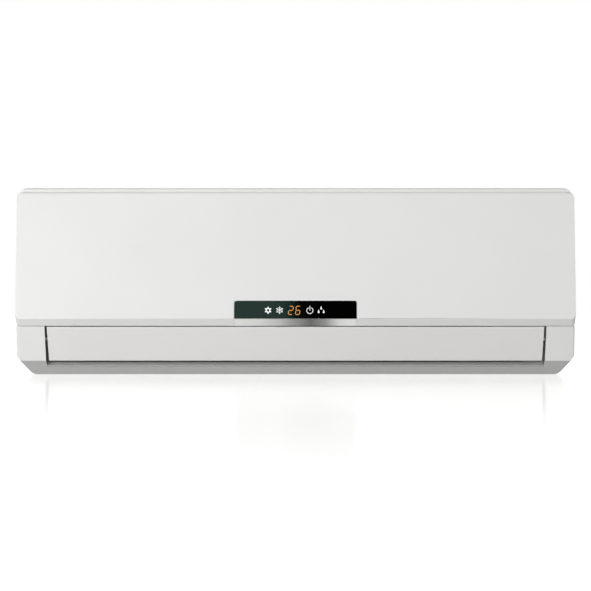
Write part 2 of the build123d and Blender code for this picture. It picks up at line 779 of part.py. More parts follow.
with BuildPart() as rear_chassis:
    slab([(rear_wall_depth, rear_wall_bottom), (rear_wall_depth, rear_wall_top),
          (rear_wall_depth + inner_wall, rear_wall_top), (rear_wall_depth + inner_wall, rear_wall_bottom)],
         -rear_wall_half, rear_wall_half)
    # scroll behind the fan
    with BuildSketch(Plane.YZ.offset(end_plate_left)) as scroll:
        with BuildLine():
            scroll_middle = (scroll_start + scroll_end) / 2
            inner = ThreePointArc(*[at(*around(scroll_centre, scroll_radius, angle))
                                    for angle in (scroll_start, scroll_middle, scroll_end)])
            outer = ThreePointArc(*[at(*around(scroll_centre, scroll_radius + inner_wall, angle))
                                    for angle in (scroll_start, scroll_middle, scroll_end)])
            Line(inner @ 0, outer @ 0)
            Line(inner @ 1, outer @ 1)
        make_face()
    extrude(scroll.sketch, amount=end_plate_right - end_plate_left)
    slab(wall_of(floor_wall, inner_wall), end_plate_left, end_plate_right)
    for left, right in ((-duct_wall, end_plate_left), (end_plate_right, duct_wall)):
        slab(wall_of(wing_wall, inner_wall), left, right)
    slab(wall_of(underside_line, inner_wall), -underside_half + part_gap, underside_half - part_gap)
    # trough under the rear coil
    slab(wall_of([trough_back, trough_front,
                  (trough_front[0] + 2, trough_front[1] + trough_lip)], inner_wall),
         end_plate_left, end_plate_right)
    # end plates
    slab(end_plate_outline, end_plate_left - inner_wall, end_plate_left)
    slab(end_plate_outline, end_plate_right, end_plate_right + inner_wall)
    prism(end_plate_left - inner_wall, fan_centre, to_right, bearing_seat_radius, inner_wall,
          mode=Mode.SUBTRACT)
    drum(fan_centre, motor_boss_radius + 1, end_plate_right, end_plate_right + inner_wall, spout_sides,
         mode=Mode.SUBTRACT)
    # webs and saddle under the motor
    for left in (motor_left + motor_web_inset, motor_left + motor_length - motor_web_inset - inner_wall):
        slab([(motor_web_back, underside_gap + inner_wall / 2),
              (motor_web_front, underside_gap + inner_wall / 2),
              (motor_web_front, saddle_top), (motor_web_back, saddle_top)], left, left + inner_wall)
    drum(fan_centre, motor_radius + part_gap, motor_left, motor_left + motor_length, large_sides,
         mode=Mode.SUBTRACT)
    with BuildSketch(Plane.YZ.offset(motor_left + saddle_inset)) as saddle:
        with Locations(at(*fan_centre)):
            RegularPolygon(motor_radius + part_gap + inner_wall, large_sides)
            RegularPolygon(motor_radius + part_gap, large_sides, major_radius=False, mode=Mode.SUBTRACT)
            with Locations((0, saddle_top - fan_height)):
                Rectangle(3 * motor_radius, 3 * motor_radius, align=(Align.CENTER, Align.MIN),
                          mode=Mode.SUBTRACT)
    extrude(saddle.sketch, amount=motor_length - 2 * saddle_inset)
    # posts that the vanes turn in
    for x in vane_places["left"] + vane_places["right"]:
        post_foot = floor_point(vane_axis_depth, -inner_wall / 2)
        prism(x, post_foot, upwards, vane_boss_radius, vane_boss_top - post_foot[1], sides=vane_sides)
        prism(x, (vane_axis_depth, vane_boss_top), downwards, vane_pin_radius + shaft_play,
              vane_pin_length + part_gap, sides=vane_sides, mode=Mode.SUBTRACT)
    # slots for the wall plate's hooks
    for x in (-hook_x, hook_x):
        block((x - hook_width / 2 - hook_slot_side, x + hook_width / 2 + hook_slot_side),
              (rear_wall_depth - 1, rear_wall_depth + inner_wall + 1),
              (hook_height - plate_thickness - hook_slot_drop, hook_height), mode=Mode.SUBTRACT)
rear_chassis.part.label = "rear_chassis"
export_step(rear_chassis.part, "parts/rear_chassis.step")

# ---------------------------------------------------------------- wall plate
with BuildPart() as wall_plate:
    plate_top = hook_height
    plate_middle = (plate_bottom + plate_top) / 2
    block((-plate_width / 2, plate_width / 2), (0, plate_thickness), (plate_bottom, plate_top))
    chamfer(wall_plate.edges().filter_by(Axis.Y), plate_corner)
    with Locations(Plane(place(0, 0, plate_middle), z_dir=(0, -1, 0), x_dir=(1, 0, 0))):
        with GridLocations(plate_hole_spacing_x, plate_hole_spacing_z, 2, 2):
            Cylinder(plate_hole_radius, 3 * plate_thickness, mode=Mode.SUBTRACT)
    # rims folded forward along the top and the bottom
    for x in (-hook_x, hook_x):
        slab(wall_of([(plate_thickness, hook_height - plate_thickness),
                      (hook_reach, hook_height - plate_thickness),
                      (hook_reach, hook_height + hook_rise)], plate_thickness),
             x - hook_width / 2, x + hook_width / 2)
        slab([(0, plate_bottom), (plate_foot_depth, plate_bottom),
              (plate_foot_depth, plate_bottom + plate_thickness),
              (0, plate_bottom + plate_thickness)], x - hook_width / 2, x + hook_width / 2)
wall_plate.part.label = "wall_plate"
export_step(wall_plate.part, "parts/wall_plate.step")

# ---------------------------------------------------------------- drip tray, outlet roof and tongue
tray_outline = [
    tongue_tip, (tongue_tip[0] + tongue_width, tray_lip_height),
    (tongue_tip[0] + tongue_width + inner_wall, tray_lip_height),
    (tongue_tip[0] + tongue_width + 2 * inner_wall, tray_floor_height),
    (tray_front_depth - inner_wall, tray_floor_height),
    (tray_front_depth - inner_wall, tray_lip_height), (tray_front_depth, tray_lip_height),
    (tray_front_depth, roof_front_height), (tongue_tip[0] + tongue_foot, roof_front_height + roof_fall)]
duct_section = [floor_point(wing_back_depth - flare_thickness, part_gap),
                floor_point(floor_end_depth, part_gap),
                (end_wall_front, end_wall_bottom), (end_wall_front, roof_front_height + inner_wall),
                (wing_back_depth - flare_thickness, roof_front_height + inner_wall)]

with BuildPart() as flare_walls:
    for start, end in ((end_plate_left - inner_wall - part_gap, -duct_half),
                       (end_plate_right + inner_wall + part_gap, duct_half)):
        with BuildSketch(Plane.XY.offset(-mid_height)) as flare:
            with BuildLine():
                Polyline((start, -wing_back_depth), (end, -flare_end_depth),
                         (end, flare_thickness - flare_end_depth), (start, flare_thickness - wing_back_depth),
                         close=True)
            make_face()
        extrude(flare.sketch, amount=body_height)
    slab(duct_section, -duct_wall, duct_wall, mode=Mode.INTERSECT)

with BuildPart() as drip_tray:
    slab(tray_outline, -duct_wall, duct_wall)
    for left, right in ((-duct_wall, -duct_half), (duct_half, duct_wall)):
        slab(duct_section, left, right)
        slab(tray_outline[:2] + tray_outline[-3:], left, right)
    add(flare_walls.part)
    for side in (-1, 1):
        near, far = sorted((side * duct_half, side * (duct_wall + spout_length)))
        drum(spout_centre, spout_radius, near, far, spout_sides)
        near, far = sorted((side * (duct_half - 1), side * (duct_wall + spout_length)))
        drum(spout_centre, spout_radius - spout_wall, near, far, spout_sides, mode=Mode.SUBTRACT)
    for x in screw_places:
        prism(x, (tray_front_depth - inner_wall / 2, screw_height), to_room, screw_boss_radius,
              case_screw_face - shell - tray_front_depth + inner_wall / 2)
        prism(x, (case_screw_face, screw_height), to_wall, screw_radius, screw_length + part_gap,
              mode=Mode.SUBTRACT)
    prism(-duct_wall - 1, louver_axis, to_right, louver_bush_radius, inner_wall + 2, mode=Mode.SUBTRACT)
    drum(louver_axis, louver_pin_radius + part_gap, duct_half - 1, duct_wall + 1, small_sides,
         mode=Mode.SUBTRACT)
drip_tray.part.label = "drip_tray"
export_step(drip_tray.part, "parts/drip_tray.step")

# ---------------------------------------------------------------- filters
filter_face = case_face + shell + part_gap + filter_thickness / 2
filter_line = [face_point(filter_bottom, filter_face), face_point(filter_run_height, filter_face),
               (filter_back_depth, filter_run_height)]


def filter_sheet(left, right, thickness, behind, border=0.0):
    """Bent sheet along the filter's guide, moved behind its middle line, in the current part."""
    front, bend, back = filter_line
    start = face_point(front[1] + border, filter_face + behind)
    corner = face_point(filter_run_height - behind, filter_face + behind)
    with BuildSketch(Plane.YZ.offset(left)) as section:
        with BuildLine():
            FilletPolyline(at(*start), at(*corner), at(back[0] + border, filter_run_height - behind),
                           radius=filter_bend_radius - behind)
        trace(line_width=thickness)
    extrude(section.sketch, amount=right - left)


for side, (left, right) in zip(("left", "right"), filter_spans):
    cell = (right - left - 2 * filter_border + filter_bar) / filter_columns
    columns = [left + filter_border + number * cell for number in range(filter_columns)]
    with BuildPart() as filter_frame:
        filter_sheet(left, right, filter_thickness, 0)
        for column in columns:
            for row in range(filter_rows):
                low = filter_bottom + filter_border + row * filter_row_pitch
                block((column, column + cell - filter_bar), (hinge_depth - 20, body_depth),
                      (low, low + filter_row_pitch - filter_bar), mode=Mode.SUBTRACT)
                front = filter_line[2][0] + filter_border + row * filter_top_pitch
                block((column, column + cell - filter_bar), (front, front + filter_top_pitch - filter_bar),
                      (filter_run_height - 5, filter_run_height + 5), mode=Mode.SUBTRACT)
    filter_frame.part.label = f"filter_frame_{side}"
    export_step(filter_frame.part, f"parts/filter_frame_{side}.step")

    with BuildPart() as filter_mesh:
        filter_sheet(left + filter_bar, right - filter_bar, filter_mesh_thickness,
                     (filter_thickness + filter_mesh_thickness) / 2, filter_bar)
    filter_mesh.part.label = f"filter_mesh_{side}"
    export_step(filter_mesh.part, f"parts/filter_mesh_{side}.step")

# ---------------------------------------------------------------- evaporator
coil_lines = {"coil_front_lower": (coil_front_foot, coil_front_knee),
              "coil_front_upper": (coil_upper_foot, coil_upper_head),
              "coil_rear": (coil_rear_head, coil_rear_foot)}


def along_coil(foot, head):
    """Plane on the outer face of a coil, with its Y axis from foot to head."""
    outer_foot, outer_head = beside(foot, head, -coil_thickness / 2)
    middle = between(outer_foot, outer_head, 0.5)
    run = (head[0] - foot[0], head[1] - foot[1])
    centre = place((coil_left + coil_right) / 2, *middle)
    return Plane(centre, x_dir=(1, 0, 0), z_dir=(0, -run[1], -run[0]))


for name, (foot, head) in coil_lines.items():
    length = math.dist(foot, head)
    fin_pitch = (coil_right - coil_left) / (fin_gap_count + 1)
    with BuildPart() as coil:
        slab(beside(foot, head, -coil_thickness / 2) + beside(foot, head, coil_thickness / 2)[::-1],
             coil_left, coil_right)
        with BuildSketch(along_coil(foot, head)) as gaps:
            with GridLocations(fin_pitch, 1, fin_gap_count, 1):
                Rectangle(fin_gap_width, length + 2)
        extrude(gaps.sketch, amount=-fin_gap_depth, mode=Mode.SUBTRACT)
    coil.part.label = name
    export_step(coil.part, f"parts/{name}.step")

# plates that carry the tubes, with a foot that stands on the chassis end plate
coil_margin = coil_thickness / 2 + 1
front_edge = beside(coil_front_foot, coil_front_knee, -coil_margin)
upper_edge = beside(coil_upper_foot, coil_upper_head, -coil_margin)
rear_edge = beside(coil_rear_head, coil_rear_foot, -coil_margin)
front_inner = beside(coil_front_foot, coil_front_knee, coil_margin)
rear_inner = beside(coil_rear_head, coil_rear_foot, coil_margin)
coil_plate_outline = front_edge + upper_edge[1:] + rear_edge + [
    rear_inner[1], (rear_inner[1][0] + plate_back_step, plate_foot_height),
    (front_inner[1][0] - plate_front_step, plate_foot_height),
    front_inner[0]]
for side, near, outward in (("left", coil_left, -1), ("right", coil_right, 1)):
    plate_span = sorted((near, near + outward * coil_plate_thickness))
    foot_span = sorted((near, end_plate_left - inner_wall if outward < 0 else end_plate_right + inner_wall))
    with BuildPart() as coil_plate:
        slab(coil_plate_outline, *plate_span)
        slab([(plate_foot_back, plate_foot_height), (plate_foot_front, plate_foot_height),
              (plate_foot_front, plate_foot_height + coil_plate_thickness),
              (plate_foot_back, plate_foot_height + coil_plate_thickness)], *foot_span)
    coil_plate.part.label = f"coil_end_plate_{side}"
    export_step(coil_plate.part, f"parts/coil_end_plate_{side}.step")

# copper return bends past the end plates, and the tube stubs beside them
def bend_line(foot, head, first):
    """Ends of a return bend that joins two neighbouring tubes of a coil."""
    length = math.dist(foot, head)
    start = length / 2 + (first - (tubes_per_coil - 1) / 2) * tube_pitch
    return between(foot, head, start / length), between(foot, head, (start + tube_pitch) / length)


with BuildPart() as return_bends:
    for face_x, outward, firsts in ((coil_left - coil_plate_thickness, -1, (0, 2)),
                                    (coil_right + coil_plate_thickness, 1, (1,))):
        for foot, head in coil_lines.values():
            for first in firsts:
                low, high = bend_line(foot, head, first)
                corners = [math.pi * (step + 0.5) / bend_steps for step in range(bend_steps)]
                reach = tube_pitch / 2 / math.cos(math.pi / 2 / bend_steps)
                with BuildLine() as bend:
                    Polyline(place(face_x, *low),
                             *[place(face_x + outward * reach * math.sin(angle),
                                     *between(low, high, 0.5 - reach * math.cos(angle) / tube_pitch))
                               for angle in corners],
                             place(face_x, *high))
                with BuildSketch(Plane(place(face_x, *low), z_dir=(outward, 0, 0))) as tube:
                    RegularPolygon(tube_radius, bend_sides)
                sweep(tube.sketch, path=bend.line, transition=Transition.RIGHT)
return_bends.part.label = "return_bends"
export_step(return_bends.part, "parts/return_bends.step")

# ---------------------------------------------------------------- cross-flow fan
blade_foot = fan_radius - fan_blade_chord
lean = math.radians(fan_blade_lean)
blade_tip = ((fan_radius - part_gap) * math.cos(lean), (fan_radius - part_gap) * math.sin(lean))
blade_middle = ((blade_tip[0] + blade_foot) / 2 + fan_blade_camber * math.sin(lean),
                blade_tip[1] / 2 - fan_blade_camber * math.cos(lean))
blade_back = [(x - fan_blade_thickness * math.sin(lean), y + fan_blade_thickness * math.cos(lean))
              for x, y in (blade_tip, blade_middle)]
with BuildSketch() as blade:
    with BuildLine():
        Polyline((blade_foot, 0), blade_middle, blade_tip, *blade_back,
                 (blade_foot, fan_blade_thickness), close=True)
    make_face()

with BuildPart() as fan_rotor:
    with BuildSketch(Plane.YZ.offset(fan_left)) as blades:
        with Locations(at(*fan_centre)):
            with PolarLocations(0, fan_blade_count):
                add(blade.sketch)
    extrude(blades.sketch, amount=fan_right - fan_left)
    bay = (fan_right - fan_left - fan_disc_thickness) / fan_bay_count
    for number in range(fan_bay_count + 1):
        left = fan_left + number * bay
        drum(fan_centre, fan_radius, left, left + fan_disc_thickness, large_sides)
        if 0 < number < fan_bay_count:
            drum(fan_centre, fan_disc_hole_radius, left, left + fan_disc_thickness, spout_sides,
                 mode=Mode.SUBTRACT)
    drum(fan_centre, fan_hub_radius, fan_right - fan_hub_length, fan_right, spout_sides)
    rod(fan_centre, shaft_radius + shaft_play, fan_right - fan_hub_length, fan_right, mode=Mode.SUBTRACT)
    drum(fan_centre, shaft_radius + fan_sleeve_wall, fan_left, fan_left + fan_hub_length / 2, small_sides)
    rod(fan_centre, shaft_radius + shaft_play, fan_left, fan_left + fan_hub_length / 2 - 1,
        mode=Mode.SUBTRACT)
fan_rotor.part.label = "fan_rotor"
export_step(fan_rotor.part, "parts/fan_rotor.step")

bearing_left = end_plate_left - bearing_width / 2 - inner_wall / 2
with BuildPart() as fan_journal:
    rod(fan_centre, shaft_radius, bearing_left - 1, fan_left + fan_hub_length / 2 - 1)
fan_journal.part.label = "fan_journal"
export_step(fan_journal.part, "parts/fan_journal.step")

with BuildPart() as fan_bearing:
    drum(fan_centre, bearing_radius, bearing_left, bearing_left + bearing_width, large_sides)
    rod(fan_centre, shaft_radius + shaft_play, bearing_left, bearing_left + bearing_width, mode=Mode.SUBTRACT)
fan_bearing.part.label = "fan_bearing"
export_step(fan_bearing.part, "parts/fan_bearing.step")

with BuildPart() as bearing_rubber:
    rubber_left = end_plate_left - inner_wall - rubber_flange_thickness
    prism(rubber_left, fan_centre, to_right, bearing_seat_radius, bearing_left + bearing_width - rubber_left)
    prism(rubber_left, fan_centre, to_right, bearing_seat_radius + rubber_flange, rubber_flange_thickness)
    drum(fan_centre, bearing_radius, rubber_left, bearing_left + bearing_width, large_sides,
         mode=Mode.SUBTRACT)
bearing_rubber.part.label = "bearing_rubber"
export_step(bearing_rubber.part, "parts/bearing_rubber.step")

# ---------------------------------------------------------------- fan motor
with BuildPart() as fan_motor:
    motor_right = motor_left + motor_length
    drum(fan_centre, motor_radius, motor_left, motor_right, large_sides)
    for end in (0, -1):
        cap = fan_motor.faces().filter_by(Axis.X).sort_by(Axis.X)[end]
        chamfer(cap.edges(), motor_radius - motor_shoulder_radius, motor_shoulder, reference=cap)
    drum(fan_centre, motor_boss_radius, motor_left - motor_boss_length, motor_left, spout_sides)
    drum(fan_centre, shaft_radius + motor_shaft_play, motor_left - motor_boss_length,
         motor_right, small_sides,
         mode=Mode.SUBTRACT)
fan_motor.part.label = "fan_motor"
export_step(fan_motor.part, "parts/fan_motor.step")

with BuildPart() as motor_shaft:
    rod(fan_centre, shaft_radius, fan_right - fan_hub_length + 1, motor_left + motor_length - 2)
motor_shaft.part.label = "motor_shaft"
export_step(motor_shaft.part, "parts/motor_shaft.step")

with BuildPart() as motor_clamp:
    clamp_ends = (motor_left + motor_clamp_inset, motor_left + motor_length - motor_clamp_inset)
    drum(fan_centre, motor_radius + part_gap + motor_clamp_wall, *clamp_ends, large_sides)
    clamp_lug_half = motor_radius + motor_clamp_lug
    block(clamp_ends, (fan_depth - clamp_lug_half, fan_depth + clamp_lug_half),
          (fan_height - motor_clamp_wall, fan_height + motor_clamp_wall))
    drum(fan_centre, motor_radius + shaft_play, *clamp_ends, large_sides, mode=Mode.SUBTRACT)
    block(clamp_ends, (fan_depth - 2 * motor_radius, fan_depth + 2 * motor_radius),
          (fan_height - 2 * motor_radius, fan_height - motor_clamp_wall), mode=Mode.SUBTRACT)
motor_clamp.part.label = "motor_clamp"
export_step(motor_clamp.part, "parts/motor_clamp.step")

# ---------------------------------------------------------------- louver
louver_line = [(cheek_bottom_depth - louver_set_back, louver_bottom),
               (cheek_top_depth - louver_set_back, louver_top)]
with BuildPart() as louver:
    with BuildSketch(Plane.YZ.offset(-louver_half_top)) as louver_section:
        with BuildLine():
            Polyline(*[at(*point) for point in wall_of(louver_line, louver_thickness)], close=True)
        make_face()
        chamfer(louver_section.vertices(), louver_edge_radius)
    extrude(louver_section.sketch, amount=2 * louver_half_top)
    with BuildSketch(Plane.XZ) as louver_front:
        with BuildLine():
            Polyline((-louver_half_bottom, louver_bottom - mid_height),
                     (louver_half_bottom, louver_bottom - mid_height),
                     (louver_half_top, louver_top - mid_height),
                     (-louver_half_top, louver_top - mid_height),
                     close=True)
        make_face()
    extrude(louver_front.sketch, amount=body_depth, mode=Mode.INTERSECT)
    back_line = beside(*louver_line, louver_thickness / 2)
    lug_outline = [between(*back_line, 0.4), between(*back_line, 0.85),
                   (louver_axis_depth, louver_axis_height + louver_lug_radius),
                   (louver_axis_depth, louver_axis_height - louver_lug_radius)]
    lug_lefts = [-louver_lug_x, louver_lug_x - louver_lug_thickness]
    for x in (-louver_support_x, louver_support_x):
        half = louver_support_thickness / 2 + part_gap
        lug_lefts += [x - half - louver_lug_thickness, x + half]
    for left in lug_lefts:
        slab(lug_outline, left, left + louver_lug_thickness)
        prism(left, louver_axis, to_right, louver_lug_radius, louver_lug_thickness)
    for x in (-louver_support_x, louver_support_x):
        half = louver_support_thickness / 2 + part_gap + louver_lug_thickness / 2
        drum(louver_axis, louver_pin_radius, x - half, x + half, small_sides)
    drum(louver_axis, louver_pin_radius, -duct_wall, -louver_lug_x, small_sides)
    drum(louver_axis, louver_pin_radius + shaft_play,
         louver_lug_x - louver_lug_thickness, louver_lug_x, small_sides,
         mode=Mode.SUBTRACT)
louver.part.label = "louver"
export_step(louver.part, "parts/louver.step")

with BuildPart() as louver_supports:
    for x in (-louver_support_x, louver_support_x):
        left, right = x - louver_support_thickness / 2, x + louver_support_thickness / 2
        slab([floor_point(support_back_depth, part_gap), floor_point(floor_end_depth - 1, part_gap),
              (louver_axis_depth + louver_lug_radius - 1, louver_axis_height - 2),
              (louver_axis_depth - louver_lug_radius + 1, louver_axis_height + 2)], left, right)
        prism(left, louver_axis, to_right, louver_lug_radius, right - left)
        drum(louver_axis, louver_pin_radius + shaft_play, left, right, small_sides, mode=Mode.SUBTRACT)
louver_supports.part.label = "louver_supports"
export_step(louver_supports.part, "parts/louver_supports.step")

with BuildPart() as louver_bush:
    prism(-duct_wall, louver_axis, to_right, louver_bush_radius, inner_wall)
    prism(-duct_wall - bush_flange, louver_axis, to_right, louver_bush_radius + bush_flange, bush_flange)
    drum(louver_axis, louver_pin_radius + shaft_play, -duct_wall - bush_flange, -duct_half, small_sides,
         mode=Mode.SUBTRACT)
louver_bush.part.label = "louver_bush"
export_step(louver_bush.part, "parts/louver_bush.step")

# step motor on the outside of the right end wall; its shaft stands off the middle of its body
step_centre = (louver_axis_depth - step_motor_offset, louver_axis_height)
with BuildPart() as louver_motor:
    drum(step_centre, step_motor_radius, duct_wall + part_gap,
         duct_wall + part_gap + step_motor_length, large_sides)
    block((duct_wall + part_gap, duct_wall + part_gap + step_ear_thickness),
          (step_centre[0] - step_ear_width / 2, step_centre[0] + step_ear_width / 2),
          (step_centre[1] - step_ear_spacing / 2 - step_ear_width / 2,
           step_centre[1] + step_ear_spacing / 2 + step_ear_width / 2))
    drum(louver_axis, louver_pin_radius + shaft_play, duct_wall,
         duct_wall + step_motor_length / 2, small_sides,
         mode=Mode.SUBTRACT)
louver_motor.part.label = "louver_motor"
export_step(louver_motor.part, "parts/louver_motor.step")

with BuildPart() as louver_motor_shaft:
    drum(louver_axis, louver_pin_radius, louver_lug_x - louver_lug_thickness,
         duct_wall + step_motor_length / 2 - 1,
         small_sides)
louver_motor_shaft.part.label = "louver_motor_shaft"
export_step(louver_motor_shaft.part, "parts/louver_motor_shaft.step")

# ---------------------------------------------------------------- upright vanes and their links
vane_outline = [
    (vane_back_depth, vane_boss_top + vane_heel[0]), (vane_back_depth, vane_boss_top + vane_heel[1]),
    (vane_back_depth + vane_shoulder[0], vane_top - vane_shoulder[1]),
    (vane_back_depth + vane_crown, vane_top), (vane_front_depth, vane_top),
    (vane_front_depth, link_height + vane_notch / 2),
    (link_depth - vane_notch, link_height + vane_notch / 2),
    (link_depth - vane_notch, link_height - vane_notch / 2),
    (vane_front_depth, link_height - vane_notch / 2),
    (vane_front_depth, vane_boss_top + part_gap),
    (vane_axis_depth + vane_pin_half_width, vane_boss_top + part_gap),
    (vane_axis_depth + vane_pin_half_width, vane_boss_top - vane_pin_length),
    (vane_axis_depth - vane_pin_half_width, vane_boss_top - vane_pin_length),
    (vane_axis_depth - vane_pin_half_width, vane_boss_top + part_gap),
    (vane_back_depth + vane_toe, vane_boss_top + part_gap)]

for side, places in vane_places.items():
    for number, x in enumerate(places, start=1):
        with BuildPart() as vane:
            slab(vane_outline, x - vane_thickness / 2, x + vane_thickness / 2)
            eye_top = link_height - vane_notch / 2
            prism(x, (link_depth, eye_top), downwards, vane_eye_radius, eye_top - vane_boss_top - part_gap,
                  sides=vane_sides)
            prism(x, (link_depth, eye_top), downwards,
                  link_pin_radius + (shaft_play if number == 1 else part_gap),
                  link_pin_length + part_gap, sides=vane_sides, mode=Mode.SUBTRACT)
        vane.part.label = f"vane_{side}_{number}"
        export_step(vane.part, f"parts/vane_{side}_{number}.step")

    with BuildPart() as vane_link:
        block((places[0] - link_end, places[-1] + link_end),
              (link_depth - link_width / 2, link_depth + link_width / 2),
              (link_height - link_thickness / 2, link_height + link_thickness / 2))
        for x in places:
            prism(x, (link_depth, link_height), downwards, link_pin_radius, vane_notch / 2 + link_pin_length,
                  sides=vane_sides)
    vane_link.part.label = f"vane_link_{side}"
    export_step(vane_link.part, f"parts/vane_link_{side}.step")

# ---------------------------------------------------------------- screws and emergency button
with BuildPart() as case_screws:
    for x in screw_places:
        prism(x, (case_screw_face, screw_height), to_wall, screw_radius, screw_length)
        prism(x, (case_screw_face, screw_height), to_room, screw_head_radius, screw_head_height)
case_screws.part.label = "case_screws"
export_step(case_screws.part, "parts/case_screws.step")

flange_front = face_point(button_height + button_half_height + button_flange,
                          case_face + shell + part_gap)[0]
switch_front = button_board_depth + button_switch_height
with BuildPart() as auto_button:
    for margin, back, front in ((0, switch_front + button_travel, button_face + button_proud),
                                (button_flange, flange_front - button_flange_thickness, flange_front)):
        block((button_x - button_half_width - margin, button_x + button_half_width + margin), (back, front),
              (button_height - button_half_height - margin, button_height + button_half_height + margin))
    chamfer(auto_button.faces().sort_by(Axis.Y)[0].edges(), 0.5)
auto_button.part.label = "auto_button"
export_step(auto_button.part, "parts/auto_button.step")

with BuildPart() as button_board:
    block((button_x - button_post_x - button_board_margin, button_x + button_post_x + button_board_margin),
          (button_board_depth - button_board_thickness, button_board_depth),
          (button_height - button_board_half_height, button_height + button_board_half_height))
    block((button_x - switch_half, button_x + switch_half),
          (button_board_depth, switch_front - switch_plunger_length),
          (button_height - switch_half, button_height + switch_half))
    prism(button_x, (switch_front - switch_plunger_length, button_height), to_room, switch_plunger_radius,
          switch_plunger_length - part_gap / 2)
button_board.part.label = "button_board"
export_step(button_board.part, "parts/button_board.step")

# ---------------------------------------------------------------- display behind the window
display_back = case_face
display_front = panel_thickness + display_clearance


def display_profile(low, high, front, back):
    """Side profile parallel to the panel, between two heights and two distances behind its face."""
    return [face_point(low, front), face_point(high, front), face_point(high, back), face_point(low, back)]


with BuildPart() as display_housing:
    slab(display_profile(display_low, display_high, display_front, display_back), -display_half, display_half)
    slab(display_profile(display_low + display_wall, display_high - display_wall, display_front - 1,
                         display_back - display_wall),
         -display_half + display_wall, display_half - display_wall,
         mode=Mode.SUBTRACT)
display_housing.part.label = "display_housing"
export_step(display_housing.part, "parts/display_housing.step")

board_back = display_back - display_wall
with BuildPart() as display_board:
    slab(display_profile(display_low + display_wall + part_gap, display_high - display_wall - part_gap,
                         board_back - board_thickness, board_back),
         -display_half + display_wall + part_gap, display_half - display_wall - part_gap)
    slab(display_profile(display_low + display_wall + display_module_margin,
                         display_high - display_wall - display_module_margin,
                         board_back - board_thickness - display_module, board_back - board_thickness),
         -display_module_half, display_module_half)
display_board.part.label = "display_board"
export_step(display_board.part, "parts/display_board.step")

# ---------------------------------------------------------------- electric box
box_back_depth = rear_wall_depth + inner_wall
box_x = (box_left, box_right)
with BuildPart() as electric_box:
    block(box_x, (box_back_depth, box_front_depth), (box_bottom, box_top))
    chamfer(electric_box.edges().filter_by(Axis.Y), box_wall)
    block((box_left + box_wall, box_right - box_wall), (box_back_depth + box_wall, box_front_depth + 1),
          (box_bottom + box_wall, box_top - box_wall), mode=Mode.SUBTRACT)
    for number in range(box_slits):
        low = box_top - slit_top_gap - number * box_slit_pitch
        block((box_left - 1, box_left + box_wall + 1),
              (box_back_depth + slit_back_gap, box_front_depth - slit_front_gap),
              (low, low + box_slit_pitch / 3), mode=Mode.SUBTRACT)
    for depth in (box_back_depth + 2 * board_margin, box_front_depth - 2 * board_margin):
        for height in (box_bottom + 2 * board_margin, box_top - 2 * board_margin):
            prism(box_left + box_wall / 2, (depth, height), to_right, board_post_radius,
                  board_standoff + box_wall / 2)
electric_box.part.label = "electric_box"
export_step(electric_box.part, "parts/electric_box.step")

with BuildPart() as electric_cover:
    block((box_left - box_cover_thickness - part_gap, box_right + part_gap),
          (box_front_depth, box_front_depth + box_cover_thickness),
          (box_bottom, box_top + part_gap + box_cover_thickness))
    block((box_left - box_cover_thickness - part_gap, box_left - part_gap),
          (box_front_depth - box_cover_rim, box_front_depth), (box_bottom, box_top))
    block((box_left + 6, box_right - 6), (box_front_depth - box_cover_rim, box_front_depth),
          (box_top + part_gap, box_top + part_gap + box_cover_thickness))
electric_cover.part.label = "electric_cover"
export_step(electric_cover.part, "parts/electric_cover.step")

board_left = box_left + box_wall + board_standoff
with BuildPart() as main_board:
    block((board_left, board_left + board_thickness),
          (box_back_depth + board_margin, box_front_depth - board_margin),
          (box_bottom + board_margin + terminal_height, box_top - board_margin))
    face_x = board_left + board_thickness
    for place_back, drop, depth, height, reach in board_blocks:
        block((face_x, face_x + reach), (box_back_depth + place_back, box_back_depth + place_back + depth),
              (box_top - drop - height, box_top - drop))
    for place_back, drop in capacitor_places:
        prism(face_x, (box_back_depth + place_back, box_top - drop), to_right,
              capacitor_radius, capacitor_length)
main_board.part.label = "main_board"
export_step(main_board.part, "parts/main_board.step")

terminal_left = (box_left + box_right - terminal_width) / 2
with BuildPart() as terminal_block:
    floor_height = box_bottom + box_wall
    block((terminal_left, terminal_left + terminal_width),
          (box_front_depth - terminal_depth - terminal_set_back, box_front_depth - terminal_set_back),
          (floor_height, floor_height + terminal_height))
    way = terminal_width / terminal_ways
    for number in range(terminal_ways):
        x = terminal_left + (number + 0.5) * way
        block((x - way / 2 + terminal_rib / 2, x + way / 2 - terminal_rib / 2),
              (box_front_depth - terminal_slot_depth, box_front_depth),
              (floor_height + terminal_slot_foot, floor_height + terminal_height + 1), mode=Mode.SUBTRACT)
terminal_block.part.label = "terminal_block"
export_step(terminal_block.part, "parts/terminal_block.step")

# ---------------------------------------------------------------- refrigerant pipes
rear_coil = coil_lines["coil_rear"]
stub_x = coil_right + coil_plate_thickness
pipes = {"gas_pipe": (bend_line(*rear_coil, tubes_per_coil - 2)[1], gas_pipe_radius, gas_drop_x,
                      gas_pipe_height, gas_pipe_end, gas_thread_radius),
         "liquid_pipe": (bend_line(*rear_coil, 0)[0], liquid_pipe_radius, liquid_drop_x,
                         liquid_pipe_height, liquid_pipe_end, liquid_thread_radius)}


